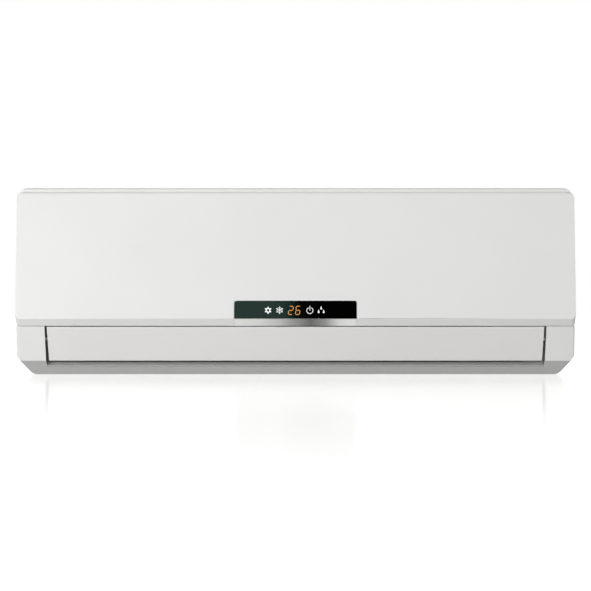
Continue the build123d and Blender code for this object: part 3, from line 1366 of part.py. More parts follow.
def bent_route(points, radii):
    """Points of a pipe's middle line, taken round each corner in short straight steps."""
    points = [Vector(*point) for point in points]
    route = [points[0]]
    for before, corner, after, radius in zip(points, points[1:], points[2:], radii):
        way_in, way_out = (corner - before).normalized(), (after - corner).normalized()
        turn = math.radians(way_in.get_angle(way_out))
        inward = (way_out - way_in * math.cos(turn)).normalized()
        centre = corner - way_in * (radius * math.tan(turn / 2)) + inward * radius
        reach = radius / math.cos(turn / 2 / pipe_bend_steps)
        angles = [turn * (step + 0.5) / pipe_bend_steps for step in range(pipe_bend_steps)]
        route += [centre + way_in * (reach * math.sin(angle)) - inward * (reach * math.cos(angle))
                  for angle in angles]
    return route + [points[-1]]


for name, (start, radius, drop_x, height, end_x, thread_radius) in pipes.items():
    drop_top = start[1] - (start[0] - pipe_depth)
    with BuildPart() as pipe:
        with BuildLine() as route:
            Polyline(*bent_route((place(stub_x, *start), place(drop_x, *start),
                                  place(drop_x, pipe_depth, drop_top), place(drop_x, pipe_depth, height),
                                  place(end_x, pipe_depth, height)),
                                 (pipe_first_bend, pipe_bend, pipe_bend)))
        with BuildSketch(Plane(place(stub_x, *start), z_dir=to_right)) as section:
            RegularPolygon(radius, pipe_sides)
        sweep(section.sketch, path=route.line, transition=Transition.RIGHT)
        prism(end_x - flare_length, (pipe_depth, height), to_right, thread_radius - flare_step, flare_length)
    pipe.part.label = name
    export_step(pipe.part, f"parts/{name}.step")

with BuildPart() as flare_nuts:
    for radius, height, end_x, length, flats, thread_radius in (
            (gas_pipe_radius, gas_pipe_height, gas_pipe_end,
             gas_nut_length, gas_nut_flats, gas_thread_radius),
            (liquid_pipe_radius, liquid_pipe_height, liquid_pipe_end, liquid_nut_length, liquid_nut_flats,
             liquid_thread_radius)):
        mouth = end_x - flare_length - length * nut_thread_share
        with BuildSketch(Plane.YZ.offset(mouth)) as hexagon:
            with Locations(at(pipe_depth, height)):
                RegularPolygon(flats / 2, 6, major_radius=False)
        extrude(hexagon.sketch, amount=length)
        rod((pipe_depth, height), thread_radius, mouth, end_x - flare_length, mode=Mode.SUBTRACT)
        prism(mouth, (pipe_depth, height), to_right, thread_radius - flare_step,
              end_x + shaft_play - mouth, mode=Mode.SUBTRACT)
        prism(mouth, (pipe_depth, height), to_right, radius + shaft_play, length, mode=Mode.SUBTRACT)
flare_nuts.part.label = "flare_nuts"
export_step(flare_nuts.part, "parts/flare_nuts.step")

with BuildPart() as pipe_clamp:
    clamp_top = liquid_pipe_height + liquid_pipe_radius + pipe_clamp_margin
    clamp_half = gas_pipe_radius + pipe_clamp_margin
    slab([(pipe_depth - clamp_half, underside_gap + inner_wall),
          (pipe_depth + clamp_half, underside_gap + inner_wall),
          (pipe_depth + clamp_half, gas_pipe_height + gas_pipe_radius),
          (pipe_depth + liquid_pipe_radius + pipe_clamp_margin, clamp_top),
          (pipe_depth - clamp_half, clamp_top)], pipe_clamp_left, pipe_clamp_left + pipe_clamp_width)
    for radius, height in ((gas_pipe_radius, gas_pipe_height), (liquid_pipe_radius, liquid_pipe_height)):
        prism(pipe_clamp_left, (pipe_depth, height), to_right, radius + shaft_play, pipe_clamp_width,
              mode=Mode.SUBTRACT)
pipe_clamp.part.label = "pipe_clamp"
export_step(pipe_clamp.part, "parts/pipe_clamp.step")

with BuildPart() as tube_sensor:
    sensor_place = bend_line(*coil_lines["coil_front_lower"], 0)[0]
    prism(stub_x, sensor_place, to_right, sensor_radius, sensor_length)
tube_sensor.part.label = "tube_sensor"
export_step(tube_sensor.part, "parts/tube_sensor.step")

with BuildPart() as drain_plug:
    spout_end = duct_wall + spout_length
    drum(spout_centre, spout_radius - spout_wall - shaft_play,
         spout_end - plug_length, spout_end, spout_sides)
    drum(spout_centre, plug_head_radius, spout_end, spout_end + plug_head_thickness, spout_sides)
drain_plug.part.label = "drain_plug"
export_step(drain_plug.part, "parts/drain_plug.step")
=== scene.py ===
import json
import math

import bmesh
import bpy
from mathutils import Matrix, Vector

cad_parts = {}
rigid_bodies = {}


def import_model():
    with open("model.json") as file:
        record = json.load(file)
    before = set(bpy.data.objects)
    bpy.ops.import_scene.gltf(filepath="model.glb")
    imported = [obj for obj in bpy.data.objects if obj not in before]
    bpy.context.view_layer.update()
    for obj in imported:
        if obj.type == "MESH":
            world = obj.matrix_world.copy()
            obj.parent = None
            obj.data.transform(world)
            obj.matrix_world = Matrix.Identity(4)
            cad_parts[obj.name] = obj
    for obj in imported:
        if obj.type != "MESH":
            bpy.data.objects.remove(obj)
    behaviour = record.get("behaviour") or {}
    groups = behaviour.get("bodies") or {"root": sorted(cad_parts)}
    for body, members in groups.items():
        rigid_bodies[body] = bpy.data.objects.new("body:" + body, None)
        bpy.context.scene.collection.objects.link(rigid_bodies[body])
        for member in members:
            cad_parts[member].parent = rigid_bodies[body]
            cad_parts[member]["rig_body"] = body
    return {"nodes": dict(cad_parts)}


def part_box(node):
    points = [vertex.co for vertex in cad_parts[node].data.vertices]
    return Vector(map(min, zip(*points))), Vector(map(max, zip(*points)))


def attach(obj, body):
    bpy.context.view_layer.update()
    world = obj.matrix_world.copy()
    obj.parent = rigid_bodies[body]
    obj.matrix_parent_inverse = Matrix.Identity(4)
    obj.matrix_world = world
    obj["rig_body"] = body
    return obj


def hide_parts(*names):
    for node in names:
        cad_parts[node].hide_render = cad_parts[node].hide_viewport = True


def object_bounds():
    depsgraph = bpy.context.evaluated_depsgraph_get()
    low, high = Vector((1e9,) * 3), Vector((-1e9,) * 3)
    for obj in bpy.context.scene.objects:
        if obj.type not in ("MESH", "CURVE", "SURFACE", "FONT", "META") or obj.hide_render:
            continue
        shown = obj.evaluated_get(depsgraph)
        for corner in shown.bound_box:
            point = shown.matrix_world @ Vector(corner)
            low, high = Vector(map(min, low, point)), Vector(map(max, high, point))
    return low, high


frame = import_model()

bl_info = {
    "name": "Mini split indoor unit",
    "version": (1, 0, 0),
    "blender": (4, 5, 0),
    "location": "3D View > Sidebar > Indoor unit",
    "description": "Dresses the packed indoor unit with its finishes, on a pale floor",
    "category": "Object",
}

cad_box = [list(corner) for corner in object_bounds()]
mm = 0.001
underside = cad_box[0][2]        # height of the unit's underside


def at(across, depth, height):
    """Place from a distance across, out from the wall and above the underside, all in millimetres."""
    return Vector((across * mm, -depth * mm, underside + height * mm))


# ---------------------------------------------------------------- finishes
# plastic: colour (None where it is a setting), roughness, grain width and grain depth in millimetres
plastics = {
    "ABS_panel_satin": (None, 0.4, 0.6, 0.02),           # one broad, soft sheen over the whole front
    "ABS_louver_satin": (None, 0.4, 0.6, 0.02),          # the panel's sheen, a shade greyer
    "ABS_case_satin": (None, 0.42, 0.6, 0.03),           # a little duller than the panel
    "ABS_outlet_painted_shade": (None, 0.5, 0.8, 0.03),           # painted shade: dull grey, so that the gap round the louver reads as shadow
    "ABS_button_grey": ("B9BCBD", 0.4, 0.6, 0.02),       # small key, told from the white case
    "Painted_shade_screw_recess": ("9FA2A3", 0.5, 0.6, 0.02),       # painted shade in the cross recess, darker than its head
    "ABS_support_painted_shade": ("7C7F80", 0.5, 0.8, 0.03),      # painted shade: darkened so that it recedes behind the louver
    "ABS_tray_white": ("DADCDC", 0.45, 0.8, 0.04),       # unpolished inner moulding
    "ABS_flame_retardant": ("D5D6D2", 0.5, 0.8, 0.03),   # warm, slightly chalky grey
    "HIPS_chassis_grey": (None, 0.5, 0.8, 0.04),         # plain dull grey of an inner moulding
    "PP_filter_frame": ("2B2F33", 0.5, 0.8, 0.03),       # waxy charcoal
    "PP_filter_thread": ("43484D", 0.5, 0.8, 0.02),      # threads that catch light over the frame
    "AS_glass_filled_black": ("1E2023", 0.42, 0.8, 0.03),  # black with a faintly grainy sheen
    "PBT_vane_painted_shade": ("33373A", 0.45, 0.8, 0.03),   # painted shade: dark, so that the outlet looks deep
    "PBT_terminal_black": ("202224", 0.4, 0.8, 0.02),    # hard, clean black
    "POM_link_black": ("1B1C1E", 0.35, 0.8, 0.02),       # slick, a sharper gleam than the vanes
    "BMC_resin_motor": ("D6D2C6", 0.55, 0.7, 0.05),      # stone-like cream of moulded resin
    "Epoxy_component_dark": ("26282B", 0.4, 0.6, 0.02),  # near-black packages on the green board
    "Rubber_black": ("1A1A1B", 0.7, 0.8, 0.05),          # soft black with almost no shine
}
# metal: colour, stained colour, width of the stains, roughness, width of the grain in millimetres
metals = {
    "Steel_zinc_screw": ("C2C5C6", "A7AAAC", 3, 0.3, 0.3),      # cold, small glints
    "Steel_ground": ("C9CBCD", "AEB1B4", 15, 0.2, 0.4),         # bright, nearly mirror shaft
    "Steel_tinned_can": ("C4C7C8", "A9ACAE", 12, 0.3, 0.4),     # drawn can with a soft gleam
    "Aluminium_fin_foil": ("E2EAEE", "CDD8DE", 30, 0.45, 0.5),  # pale blue of the coated foil
    "Copper_drawn": ("D08A63", "A5623F", 22, 0.3, 0.5),         # warm tube, browned in patches by brazing
    "Brass_turned": ("D3B468", "B3924A", 12, 0.25, 0.4),        # yellow, crisp highlights on the flats
    "Bronze_sintered": ("A8814F", "856038", 4, 0.5, 0.3),       # porous, dull golden brown
}
plastic_ior, acrylic_ior, board_ior = 1.54, 1.49, 1.5
# widths of patterns in millimetres: drift of a moulding's colour and gloss, haze on the window, flow of
# the board's resist, ink of the lit symbols, drift of the floor's colour and gloss, and nap of the felt
tone_drift, gloss_drift, window_haze, resist_flow, print_ink = 160, 40, 25, 6, 4
floor_tone, floor_gloss, felt_nap = 900, 300, 3
zinc_crystal = 6                 # at the coarse end of real spangle, so that it shows


def linear(hex_value):
    """Linear colour, with alpha, of an sRGB hex value."""
    channels = [int(hex_value[place:place + 2], 16) / 255 for place in (0, 2, 4)]
    return [part / 12.92 if part <= 0.04045 else ((part + 0.055) / 1.055) ** 2.4
            for part in channels] + [1.0]


def rgb(hex_value):
    """Linear colour without alpha, as a colour property takes it."""
    return linear(hex_value)[:3]


def shade(colour, share):
    """A colour property's value as a socket colour, darker or lighter by a share."""
    return [min(1.0, part * share) for part in colour[:3]] + [1.0]


def add_node(tree, kind, settings=None, values=None, links=None):
    """Adds a node to a tree with its settings, its plain socket values and its incoming links."""
    made = tree.nodes.new(kind)
    for name, value in (settings or {}).items():
        setattr(made, name, value)
    for socket, value in (values or {}).items():
        made.inputs[socket].default_value = value
    for socket, source in (links or {}).items():
        tree.links.new(source, made.inputs[socket])
    return made


def start_material(name):
    """Empty material with its node tree and the object coordinates that its patterns follow."""
    material = bpy.data.materials.new(name)
    material.use_nodes = True
    tree = material.node_tree
    tree.nodes.clear()
    return material, tree, add_node(tree, "ShaderNodeTexCoord").outputs["Object"]


def end_material(tree, shader):
    add_node(tree, "ShaderNodeOutputMaterial", links={"Surface": shader.outputs[0]})


def per_metre(size_mm):
    """Pattern scale that repeats about once in a size in millimetres."""
    return 1000.0 / size_mm


def ramp(tree, source, stops):
    """Colours at places from 0 to 1 along a value."""
    made = add_node(tree, "ShaderNodeValToRGB", links={"Fac": source})
    elements = made.color_ramp.elements
    elements[0].position, elements[1].position = stops[0][0], stops[-1][0]
    elements[0].color, elements[1].color = stops[0][1], stops[-1][1]
    for place, colour in stops[1:-1]:
        elements.new(place).color = colour
    return made.outputs["Color"]


def noise(tree, coordinates, size_mm, detail):
    """Soft random pattern with features of a size in millimetres."""
    return add_node(tree, "ShaderNodeTexNoise", values={"Scale": per_metre(size_mm), "Detail": detail},
                    links={"Vector": coordinates}).outputs["Fac"]


def between(tree, source, low, high):
    """Value that follows a pattern from a low to a high limit."""
    return add_node(tree, "ShaderNodeMapRange", values={"To Min": low, "To Max": high},
                    links={"Value": source}).outputs["Result"]


def relief(tree, height, strength, depth_mm):
    """Normal of a surface whose pattern stands up by a depth in millimetres."""
    return add_node(tree, "ShaderNodeBump", values={"Strength": strength, "Distance": depth_mm * mm},
                    links={"Height": height}).outputs["Normal"]


def moulded_plastic(name, colour=None):
    """Injection-moulded plastic.

    The tool's spark-eroded grain breaks the gloss into a soft sheen, the gloss drifts over a hand's
    width, and the colour shifts by a hair, as thin mouldings do. The real grain is about 0.1 mm wide,
    and it is drawn coarser so that it shows.
    """
    hex_value, roughness, grain_mm, grain_depth = plastics[name]
    colour = rgb(hex_value) if colour is None else colour
    material, tree, coordinates = start_material(name)
    drift = noise(tree, coordinates, tone_drift, 2)
    gloss = noise(tree, coordinates, gloss_drift, 3)
    shader = add_node(tree, "ShaderNodeBsdfPrincipled", values={"IOR": plastic_ior}, links={
        "Base Color": ramp(tree, drift, ((0.3, shade(colour, 0.975)), (0.7, shade(colour, 1.0)))),
        "Roughness": between(tree, gloss, roughness - 0.04, roughness + 0.04),
        "Normal": relief(tree, noise(tree, coordinates, grain_mm, 2), 0.35, grain_depth)})
    end_material(tree, shader)
    return material


def gloss_acrylic(name, colour, painted_reflection, fade_start, fade_end):
    """Smoked acrylic, polished: nearly black and mirror smooth, with a green reflection painted in at its
    left.

    The painted reflection fades between two places across, in millimetres.
    """
    material, tree, coordinates = start_material(name)
    along = add_node(tree, "ShaderNodeSeparateXYZ", links={"Vector": coordinates})
    fade = add_node(tree, "ShaderNodeMapRange", {"interpolation_type": "SMOOTHSTEP"},
                    {"From Min": fade_start * mm, "From Max": fade_end * mm}, {"Value": along.outputs["X"]})
    tone = ramp(tree, fade.outputs["Result"], ((0.0, shade(painted_reflection, 1.0)), (1.0, shade(colour, 1.0))))
    values = {"IOR": acrylic_ior, "Specular IOR Level": 0.27}
    shader = add_node(tree, "ShaderNodeBsdfPrincipled", values=values, links={
        "Base Color": tone,
        "Roughness": between(tree, noise(tree, coordinates, window_haze, 4), 0.03, 0.09)})
    end_material(tree, shader)
    return material


hairline_mm, hairline_stretch = 0.4, (0.02, 1, 1)    # hairlines run along the strip


def brushed_metal(name, colour, roughness, tones):
    """Brushed aluminium: hairlines 0.15 mm apart, drawn 0.4 mm apart so that they show.

    Bright and dull stretches along the strip are a painted reflection in its colour. Each tone
    is a place across, in millimetres, with the share of the colour there.
    """
    material, tree, coordinates = start_material(name)
    pulled = add_node(tree, "ShaderNodeMapping", values={"Scale": hairline_stretch},
                      links={"Vector": coordinates})
    lines = noise(tree, pulled.outputs[0], hairline_mm, 2)
    along = add_node(tree, "ShaderNodeSeparateXYZ", links={"Vector": coordinates})
    start, end = tones[0][0], tones[-1][0]
    place = add_node(tree, "ShaderNodeMapRange", values={"From Min": start * mm, "From Max": end * mm},
                     links={"Value": along.outputs["X"]})
    wander = add_node(tree, "ShaderNodeMath", {"operation": "MULTIPLY_ADD"}, {1: 0.06},
                      {0: lines, 2: place.outputs["Result"]})
    stops = [((across - start) / (end - start), shade(colour, share)) for across, share in tones]
    shader = add_node(tree, "ShaderNodeBsdfPrincipled", values={"Metallic": 1.0}, links={
        "Base Color": ramp(tree, wander.outputs[0], stops),
        "Roughness": between(tree, lines, roughness - 0.06, roughness + 0.1),
        "Normal": relief(tree, lines, 0.3, 0.02)})
    end_material(tree, shader)
    return material


def worked_metal(name):
    """Metal as it leaves its process: stains drift over it in patches, and a fine grain dulls the shine.

    The real grain is under 0.1 mm wide, and it is drawn coarser so that it shows.
    """
    colour, stained, patch_mm, roughness, grain_mm = metals[name]
    material, tree, coordinates = start_material(name)
    grain = noise(tree, coordinates, grain_mm, 3)
    tone = ramp(tree, noise(tree, coordinates, patch_mm, 4),
                ((0.35, linear(stained)), (0.65, linear(colour))))
    shader = add_node(tree, "ShaderNodeBsdfPrincipled", values={"Metallic": 1.0}, links={
        "Base Color": tone, "Roughness": between(tree, grain, roughness - 0.06, roughness + 0.08),
        "Normal": relief(tree, grain, 0.25, 0.03)})
    end_material(tree, shader)
    return material


def spangled_zinc(name, colour, crystal_mm):
    """Hot-dip galvanised steel: zinc crystals a few millimetres wide, each with its own grey and shine."""
    material, tree, coordinates = start_material(name)
    crystals = add_node(tree, "ShaderNodeTexVoronoi", values={"Scale": per_metre(crystal_mm)},
                        links={"Vector": coordinates})
    grey = add_node(tree, "ShaderNodeSeparateColor", links={"Color": crystals.outputs["Color"]}).outputs[0]
    shader = add_node(tree, "ShaderNodeBsdfPrincipled", values={"Metallic": 1.0}, links={
        "Base Color": ramp(tree, grey, ((0.0, shade(colour, 0.78)), (1.0, shade(colour, 1.05)))),
        "Roughness": between(tree, grey, 0.32, 0.5),
        "Normal": relief(tree, crystals.outputs["Distance"], 0.15, 0.03)})
    end_material(tree, shader)
    return material


track_mm = 2.5       # tracks are finer on the real board; drawn at this pitch so that they show


def board_laminate(name, colour, track_colour):
    """Glass-epoxy board: green resist over copper tracks, which show through a shade lighter."""
    material, tree, coordinates = start_material(name)
    turned = add_node(tree, "ShaderNodeMapping", values={"Rotation": (math.pi / 2, 0, 0.6)},
                      links={"Vector": coordinates})
    tracks = add_node(tree, "ShaderNodeTexBrick", {"offset": 0.35}, {
        "Scale": per_metre(track_mm), "Mortar Size": 0.12, "Brick Width": 2.6, "Row Height": 0.5,
        "Color1": shade(colour, 1.0), "Color2": shade(colour, 0.9), "Mortar": shade(track_colour, 1.0)},
        {"Vector": turned.outputs[0]})
    values = {"IOR": board_ior, "Coat Weight": 0.3}
    shader = add_node(tree, "ShaderNodeBsdfPrincipled", values=values, links={
        "Base Color": tracks.outputs["Color"],
        "Roughness": between(tree, noise(tree, coordinates, resist_flow, 2), 0.3, 0.42),
        "Normal": relief(tree, tracks.outputs["Fac"], 0.2, 0.03)})
    end_material(tree, shader)
    return material


def lit_print(name, colour, strength):
    """Printed symbol lit from behind by a diode: an even colour that glows a little."""
    material, tree, coordinates = start_material(name)
    tone = ramp(tree, noise(tree, coordinates, print_ink, 1),
                ((0.3, shade(colour, 0.9)), (0.7, shade(colour, 1.0))))
    values = {"Roughness": 0.4, "Emission Strength": strength}
    shader = add_node(tree, "ShaderNodeBsdfPrincipled", values=values,
                      links={"Base Color": tone, "Emission Color": tone})
    end_material(tree, shader)
    return material


# ---------------------------------------------------------------- shapes
def finish_piece(piece, body, material=None, nodes=()):
    """Puts a new piece in the scene, on its body, and in place of its CAD nodes."""
    if piece.name not in bpy.context.scene.collection.objects:
        bpy.context.scene.collection.objects.link(piece)
    if material:
        piece.data.materials.clear()
        piece.data.materials.append(material)
    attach(piece, body)
    if nodes:
        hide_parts(*nodes)
    return piece


def dress(nodes, material):
    """Gives CAD nodes that keep their shape a finish."""
    for name in nodes:
        node = frame["nodes"][name]
        node.data.materials.clear()
        node.data.materials.append(material)


def mesh_of(shape, name, smooth=True):
    """Mesh of a finished bmesh."""
    bmesh.ops.recalc_face_normals(shape, faces=shape.faces)
    mesh = bpy.data.meshes.new(name)
    shape.to_mesh(mesh)
    shape.free()
    if smooth:
        mesh.shade_smooth()
    return mesh


def round_edges(piece, radius_mm, angle, rounds):
    """Rounds the edges of a piece that turn by more than an angle, and keeps its flats flat."""
    bevel = piece.modifiers.new("rounded_edges", "BEVEL")
    bevel.width = radius_mm * mm
    bevel.segments = rounds
    bevel.limit_method = "ANGLE"
    bevel.angle_limit = math.radians(angle)
    bevel.use_clamp_overlap = False
    bevel.harden_normals = True


# points closer than these join, in millimetres: in a solid's copy and in the pressed sheet
weld_gap, sheet_gap = 0.004, 0.01
flat_angle = 0.6                 # degrees within which neighbouring faces become one
edge_rounds, edge_angle = 2, 30  # steps of a rounded edge; degrees up to which an edge stays smooth
# radius of the moulded edges in millimetres; 0 keeps the solid's own edges
edge_radii = {
    "front_case": 0, "louver": 0.3, "auto_button": 0.3, "display_window": 0.3, "trim_strip": 0.15,
    "display_housing": 0.4, "vane": 0.15, "vane_link": 0.3, "louver_supports": 0.4, "louver_motor": 0.5,
    "louver_bush": 0.3, "fan_motor": 1.2, "bearing_rubber": 0.5, "motor_clamp": 0.3, "rear_chassis": 0,
    "drip_tray": 0, "drain_plug": 0.4, "pipe_clamp": 0.4, "flare_nuts": 0.5, "electric_box": 0,
    "electric_cover": 0.4, "terminal_block": 0.4}
# the same degrees where they aren't the usual ones
edge_angles = {"front_case": 25, "rear_chassis": 25, "drip_tray": 25, "electric_box": 25, "fan_motor": 25,
               "flare_nuts": 25}


def moulded_copy(node, material, radius_mm=None, kind=None):
    """A CAD node's shape with whole faces and the edges of its kind, in place of the node."""
    if radius_mm is None:
        radius_mm = edge_radii[kind or node]
    angle = edge_angles.get(kind or node, edge_angle)
    shape = bmesh.new()
    shape.from_mesh(frame["nodes"][node].data)
    bmesh.ops.remove_doubles(shape, verts=shape.verts, dist=weld_gap * mm)
    bmesh.ops.dissolve_limit(shape, angle_limit=math.radians(flat_angle), verts=shape.verts,
                             edges=shape.edges)
    made = node + "_moulded"
    mesh = mesh_of(shape, made)
    for layer in ("custom_normal", "sharp_face", "sharp_edge"):
        if layer in mesh.attributes:
            mesh.attributes.remove(mesh.attributes[layer])
    piece = bpy.data.objects.new(made, mesh)
    if radius_mm:
        round_edges(piece, radius_mm, angle, edge_rounds)
    else:
        mesh.set_sharp_from_angle(angle=math.radians(angle))
    return finish_piece(piece, frame["nodes"][node]["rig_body"], material, (node,))


def add_profile(shape, outline, left, right):
    """Adds a bar with an outline of (depth, height) points between two places across."""
    ends = [[shape.verts.new(at(across, *point)) for point in outline] for across in (left, right)]
    shape.faces.new(ends[0])
    shape.faces.new(ends[1][::-1])
    for number in range(len(outline)):
        after = (number + 1) % len(outline)
        shape.faces.new((ends[0][number], ends[0][after], ends[1][after], ends[1][number]))


def add_block(shape, across, depth, height):
    """Adds a block between two places each way."""
    add_profile(shape, [(depth[0], height[0]), (depth[1], height[0]), (depth[1], height[1]),
                        (depth[0], height[1])], *across)


def middles(start, end, count):
    """Places that part a stretch into a number of equal fields."""
    return [start + (end - start) * number / count for number in range(1, count)]


def circle(centre, radius, count, start=0.0, end=360.0, closed=True):
    """Points round a circle, or along its arc between two angles in degrees where it isn't closed."""
    steps = count if closed else count - 1
    return [(centre[0] + radius * math.cos(math.radians(start + (end - start) * step / steps)),
             centre[1] + radius * math.sin(math.radians(start + (end - start) * step / steps)))
            for step in range(count)]


tube_resolution = 5              # steps in a quarter of a tube's section
bend_steps = 8                   # steps round a bend


def tube(name, lines, radius_mm):
    """Round tubes along lines of places."""
    curve = bpy.data.curves.new(name, "CURVE")
    curve.dimensions = "3D"
    curve.bevel_depth = radius_mm * mm
    curve.bevel_resolution = tube_resolution
    curve.use_fill_caps = True
    for line in lines:
        spline = curve.splines.new("POLY")
        spline.points.add(len(line) - 1)
        for point, place in zip(spline.points, line):
            point.co = (*place, 1)
        spline.use_smooth = True
    return bpy.data.objects.new(name, curve)


def rounded_route(corners, radii):
    """Places along straight runs whose corners are bent to radii in millimetres, as on a tube bender."""
    steps, route = bend_steps, [corners[0]]
    for before, corner, after, radius in zip(corners, corners[1:], corners[2:], radii):
        way_in, way_out = (corner - before).normalized(), (after - corner).normalized()
        turn = way_in.angle(way_out)
        inward = (way_out - way_in * math.cos(turn)).normalized()
        centre = corner - way_in * (radius * mm * math.tan(turn / 2)) + inward * radius * mm
        route += [centre + way_in * (radius * mm * math.sin(turn * step / steps))
                  - inward * (radius * mm * math.cos(turn * step / steps)) for step in range(steps + 1)]
    return route + [corners[-1]]


def drawn_shape(name, loops, thickness, frame_matrix, material):
    """Flat printed shape from closed loops in millimetres, with the inner loops as holes."""
    curve = bpy.data.curves.new(name, "CURVE")
    curve.dimensions = "2D"
    curve.fill_mode = "BOTH"
    curve.extrude = thickness / 2 * mm
    for loop in loops:
        spline = curve.splines.new("POLY")
        spline.points.add(len(loop) - 1)
        for point, (across, up) in zip(spline.points, loop):
            point.co = (across * mm, up * mm, 0, 1)
        spline.use_cyclic_u = True
    if material:
        curve.materials.append(material)
    piece = bpy.data.objects.new(name, curve)
    bpy.context.scene.collection.objects.link(piece)
    piece.matrix_world = frame_matrix
    return piece


# ---------------------------------------------------------------- settings
def colour_setting(name, description, hex_value):
    """Colour property with its default."""
    return bpy.props.FloatVectorProperty(name=name, description=description, subtype="COLOR",
                                         default=rgb(hex_value), min=0, max=1)


def length_setting(name, description, millimetres, low, high):
    """Length property with its default and limits in millimetres."""
    return bpy.props.FloatProperty(name=name, description=description, default=millimetres * mm,
                                   min=low * mm, max=high * mm, unit="LENGTH", subtype="DISTANCE")


def power_setting(name, description, watts):
    """Power property of a lamp with its default."""
    return bpy.props.FloatProperty(name=name, description=description, default=watts, min=0, max=1000,
                                   unit="POWER")


def strength_setting(name, description, strength, high):
    """Strength property with its default and its upper limit."""
    return bpy.props.FloatProperty(name=name, description=description, default=strength, min=0, max=high)


class CasingSettings(bpy.types.PropertyGroup):
    """Colours and edges of the mouldings."""
    panel_colour: colour_setting("Panel", "Moulded front panel", "F6F6F5")
    case_colour: colour_setting("Case", "Case round the panel and the outlet", "F1F1EF")
    louver_colour: colour_setting("Louver", "Swing louver under the panel", "EDECEB")
    inner_colour: colour_setting("Chassis", "Mouldings inside the casing", "C9CBCB")
    # painted shade: grey for the outlet's inside, which is one white moulding with the case
    outlet_shade_colour: colour_setting("Outlet", "Grey moulding round the air outlet", "989A98")
    edge_radius: length_setting("Edge radius", "Rounding of the casing's edges", 0.45, 0.1, 2)


class DisplaySettings(bpy.types.PropertyGroup):
    """Lit symbols behind the window."""
    window_colour: colour_setting("Window", "Smoked acrylic of the display window", "020202")
    # painted reflection: the green at the left of the window is a reflection set into its colour
    painted_reflection_colour: colour_setting("Backing", "Green-grey backing at the left of the window", "0A2A22")
    digit_colour: colour_setting("Digits", "Lit segments of the temperature", "B8803F")
    symbol_size: length_setting("Symbol size", "Width of the printed symbols", 11.0, 4, 20)


class AirSettings(bpy.types.PropertyGroup):
    """Spacing of what the air passes."""
    fin_pitch: length_setting("Fin pitch", "Distance from fin to fin", 1.8, 1.2, 4)
    thread_pitch: length_setting("Net pitch", "Distance from thread to thread of the net", 2.6, 1.5, 6)
    blade_count: bpy.props.IntProperty(name="Fan blades", description="Blades round the cross-flow fan",
                                       default=35, min=20, max=40)


class StudioSettings(bpy.types.PropertyGroup):
    """Camera and light."""
    camera_distance: length_setting("Camera distance", "From the wall to the camera", 2980, 1000, 10000)
    key_strength: power_setting("Key light", "Power of the large soft light at the left", 73.5)
    fill_strength: power_setting("Fill light", "Power of the soft light above the camera", 22.0)
    side_strength: power_setting("Side light", "Power of the soft lights beside and behind the unit", 26.0)
    room_strength: strength_setting("Room light", "Even light of the pale room", 0.52, 2)
    floor_lift: strength_setting("Floor brightness",
                                 "Own light of the pale floor, which throws none on the unit", 0.6, 1)


# ---------------------------------------------------------------- casing
# limits of the outlet's inside, which gets painted shade; a face under the sill counts only where it
# doesn't look down more than this
outlet_half, outlet_depth, outlet_height, outlet_sill, outlet_facing = 352.5, 161.0, 69.0, 18.0, -0.3
screw_places = (-290.0, 0.0, 290.0)
screw_depth, screw_height = 166.35, 75.75
recess_long, recess_wide, recess_sunk, recess_proud = 1.5, 0.3, 0.1, 0.15


def cross_recess(name, across):
    """Cross recess of a screw's head, as a shallow four-armed star of painted shade."""
    shape = bmesh.new()
    for half, up in ((recess_long, recess_wide), (recess_wide, recess_long)):
        add_block(shape, (across - half, across + half),
                  (screw_depth - recess_sunk, screw_depth + recess_proud),
                  (screw_height - up, screw_height + up))
    return bpy.data.objects.new(name, mesh_of(shape, name, smooth=False))


class UNIT_OT_casing(bpy.types.Operator):
    """Front panel, case, swing louver, screws and button"""
    bl_idname = "indoor_unit.casing"
    bl_label = "Casing"

    def execute(self, context):
        look = context.scene.indoor_unit_casing
        case_satin = moulded_plastic("ABS_case_satin", look.case_colour)
        panel_satin = moulded_plastic("ABS_panel_satin", look.panel_colour)
        moulded_copy("front_panel", panel_satin, look.edge_radius / mm)
        moulded_copy("louver", moulded_plastic("ABS_louver_satin", look.louver_colour))
        moulded_copy("auto_button", moulded_plastic("ABS_button_grey"))
        case = moulded_copy("front_case", case_satin)
        # the outlet's inside and its drip rib are painted grey as shade, though the case is one white
        # moulding
        case.data.materials.append(moulded_plastic("ABS_outlet_painted_shade", look.outlet_shade_colour))
        for face in case.data.polygons:
            middle = face.center
            depth, height = -middle.y / mm, (middle.z - underside) / mm
            if (abs(middle.x) < outlet_half * mm and depth < outlet_depth and height < outlet_height
                    and (face.normal.z > outlet_facing or height > outlet_sill)):
                face.material_index = 1
        # the cross recesses are painted shade: dark stars on the heads, not hollows
        recess = moulded_plastic("Painted_shade_screw_recess")
        dress(["case_screws"], worked_metal("Steel_zinc_screw"))
        for number, across in enumerate(screw_places):
            star = cross_recess(f"screw_recess_shade_{number + 1}", across)
            finish_piece(star, "casing", recess)
        return {"FINISHED"}


# ---------------------------------------------------------------- display
window_lean = 2.72 * mm          # how far the window's top edge stands behind its lower edge
symbol_height = 11.7             # middle of the symbols above the window's lower edge
digit_height = 11.5              # middle of the digits above that edge
symbol_glow, digit_glow = 0.3, 0.55
# name, place across of the middle, and digit
digits = (("digit_left", -6.6, "2"), ("digit_right", 3.4, "6"))
print_depth = 0.04
painted_reflection_fade = -18, 8            # places across between which the window's painted green reflection fades out
trim_roughness = 0.28
# painted reflection along the trim: place across in millimetres and share of the aluminium's colour there
trim_painted_reflection = ((-80, 1.0), (-45, 0.9), (-18, 0.7), (-2, 0.47), (26, 0.21), (48, 0.41), (66, 0.9), (80, 1.0))


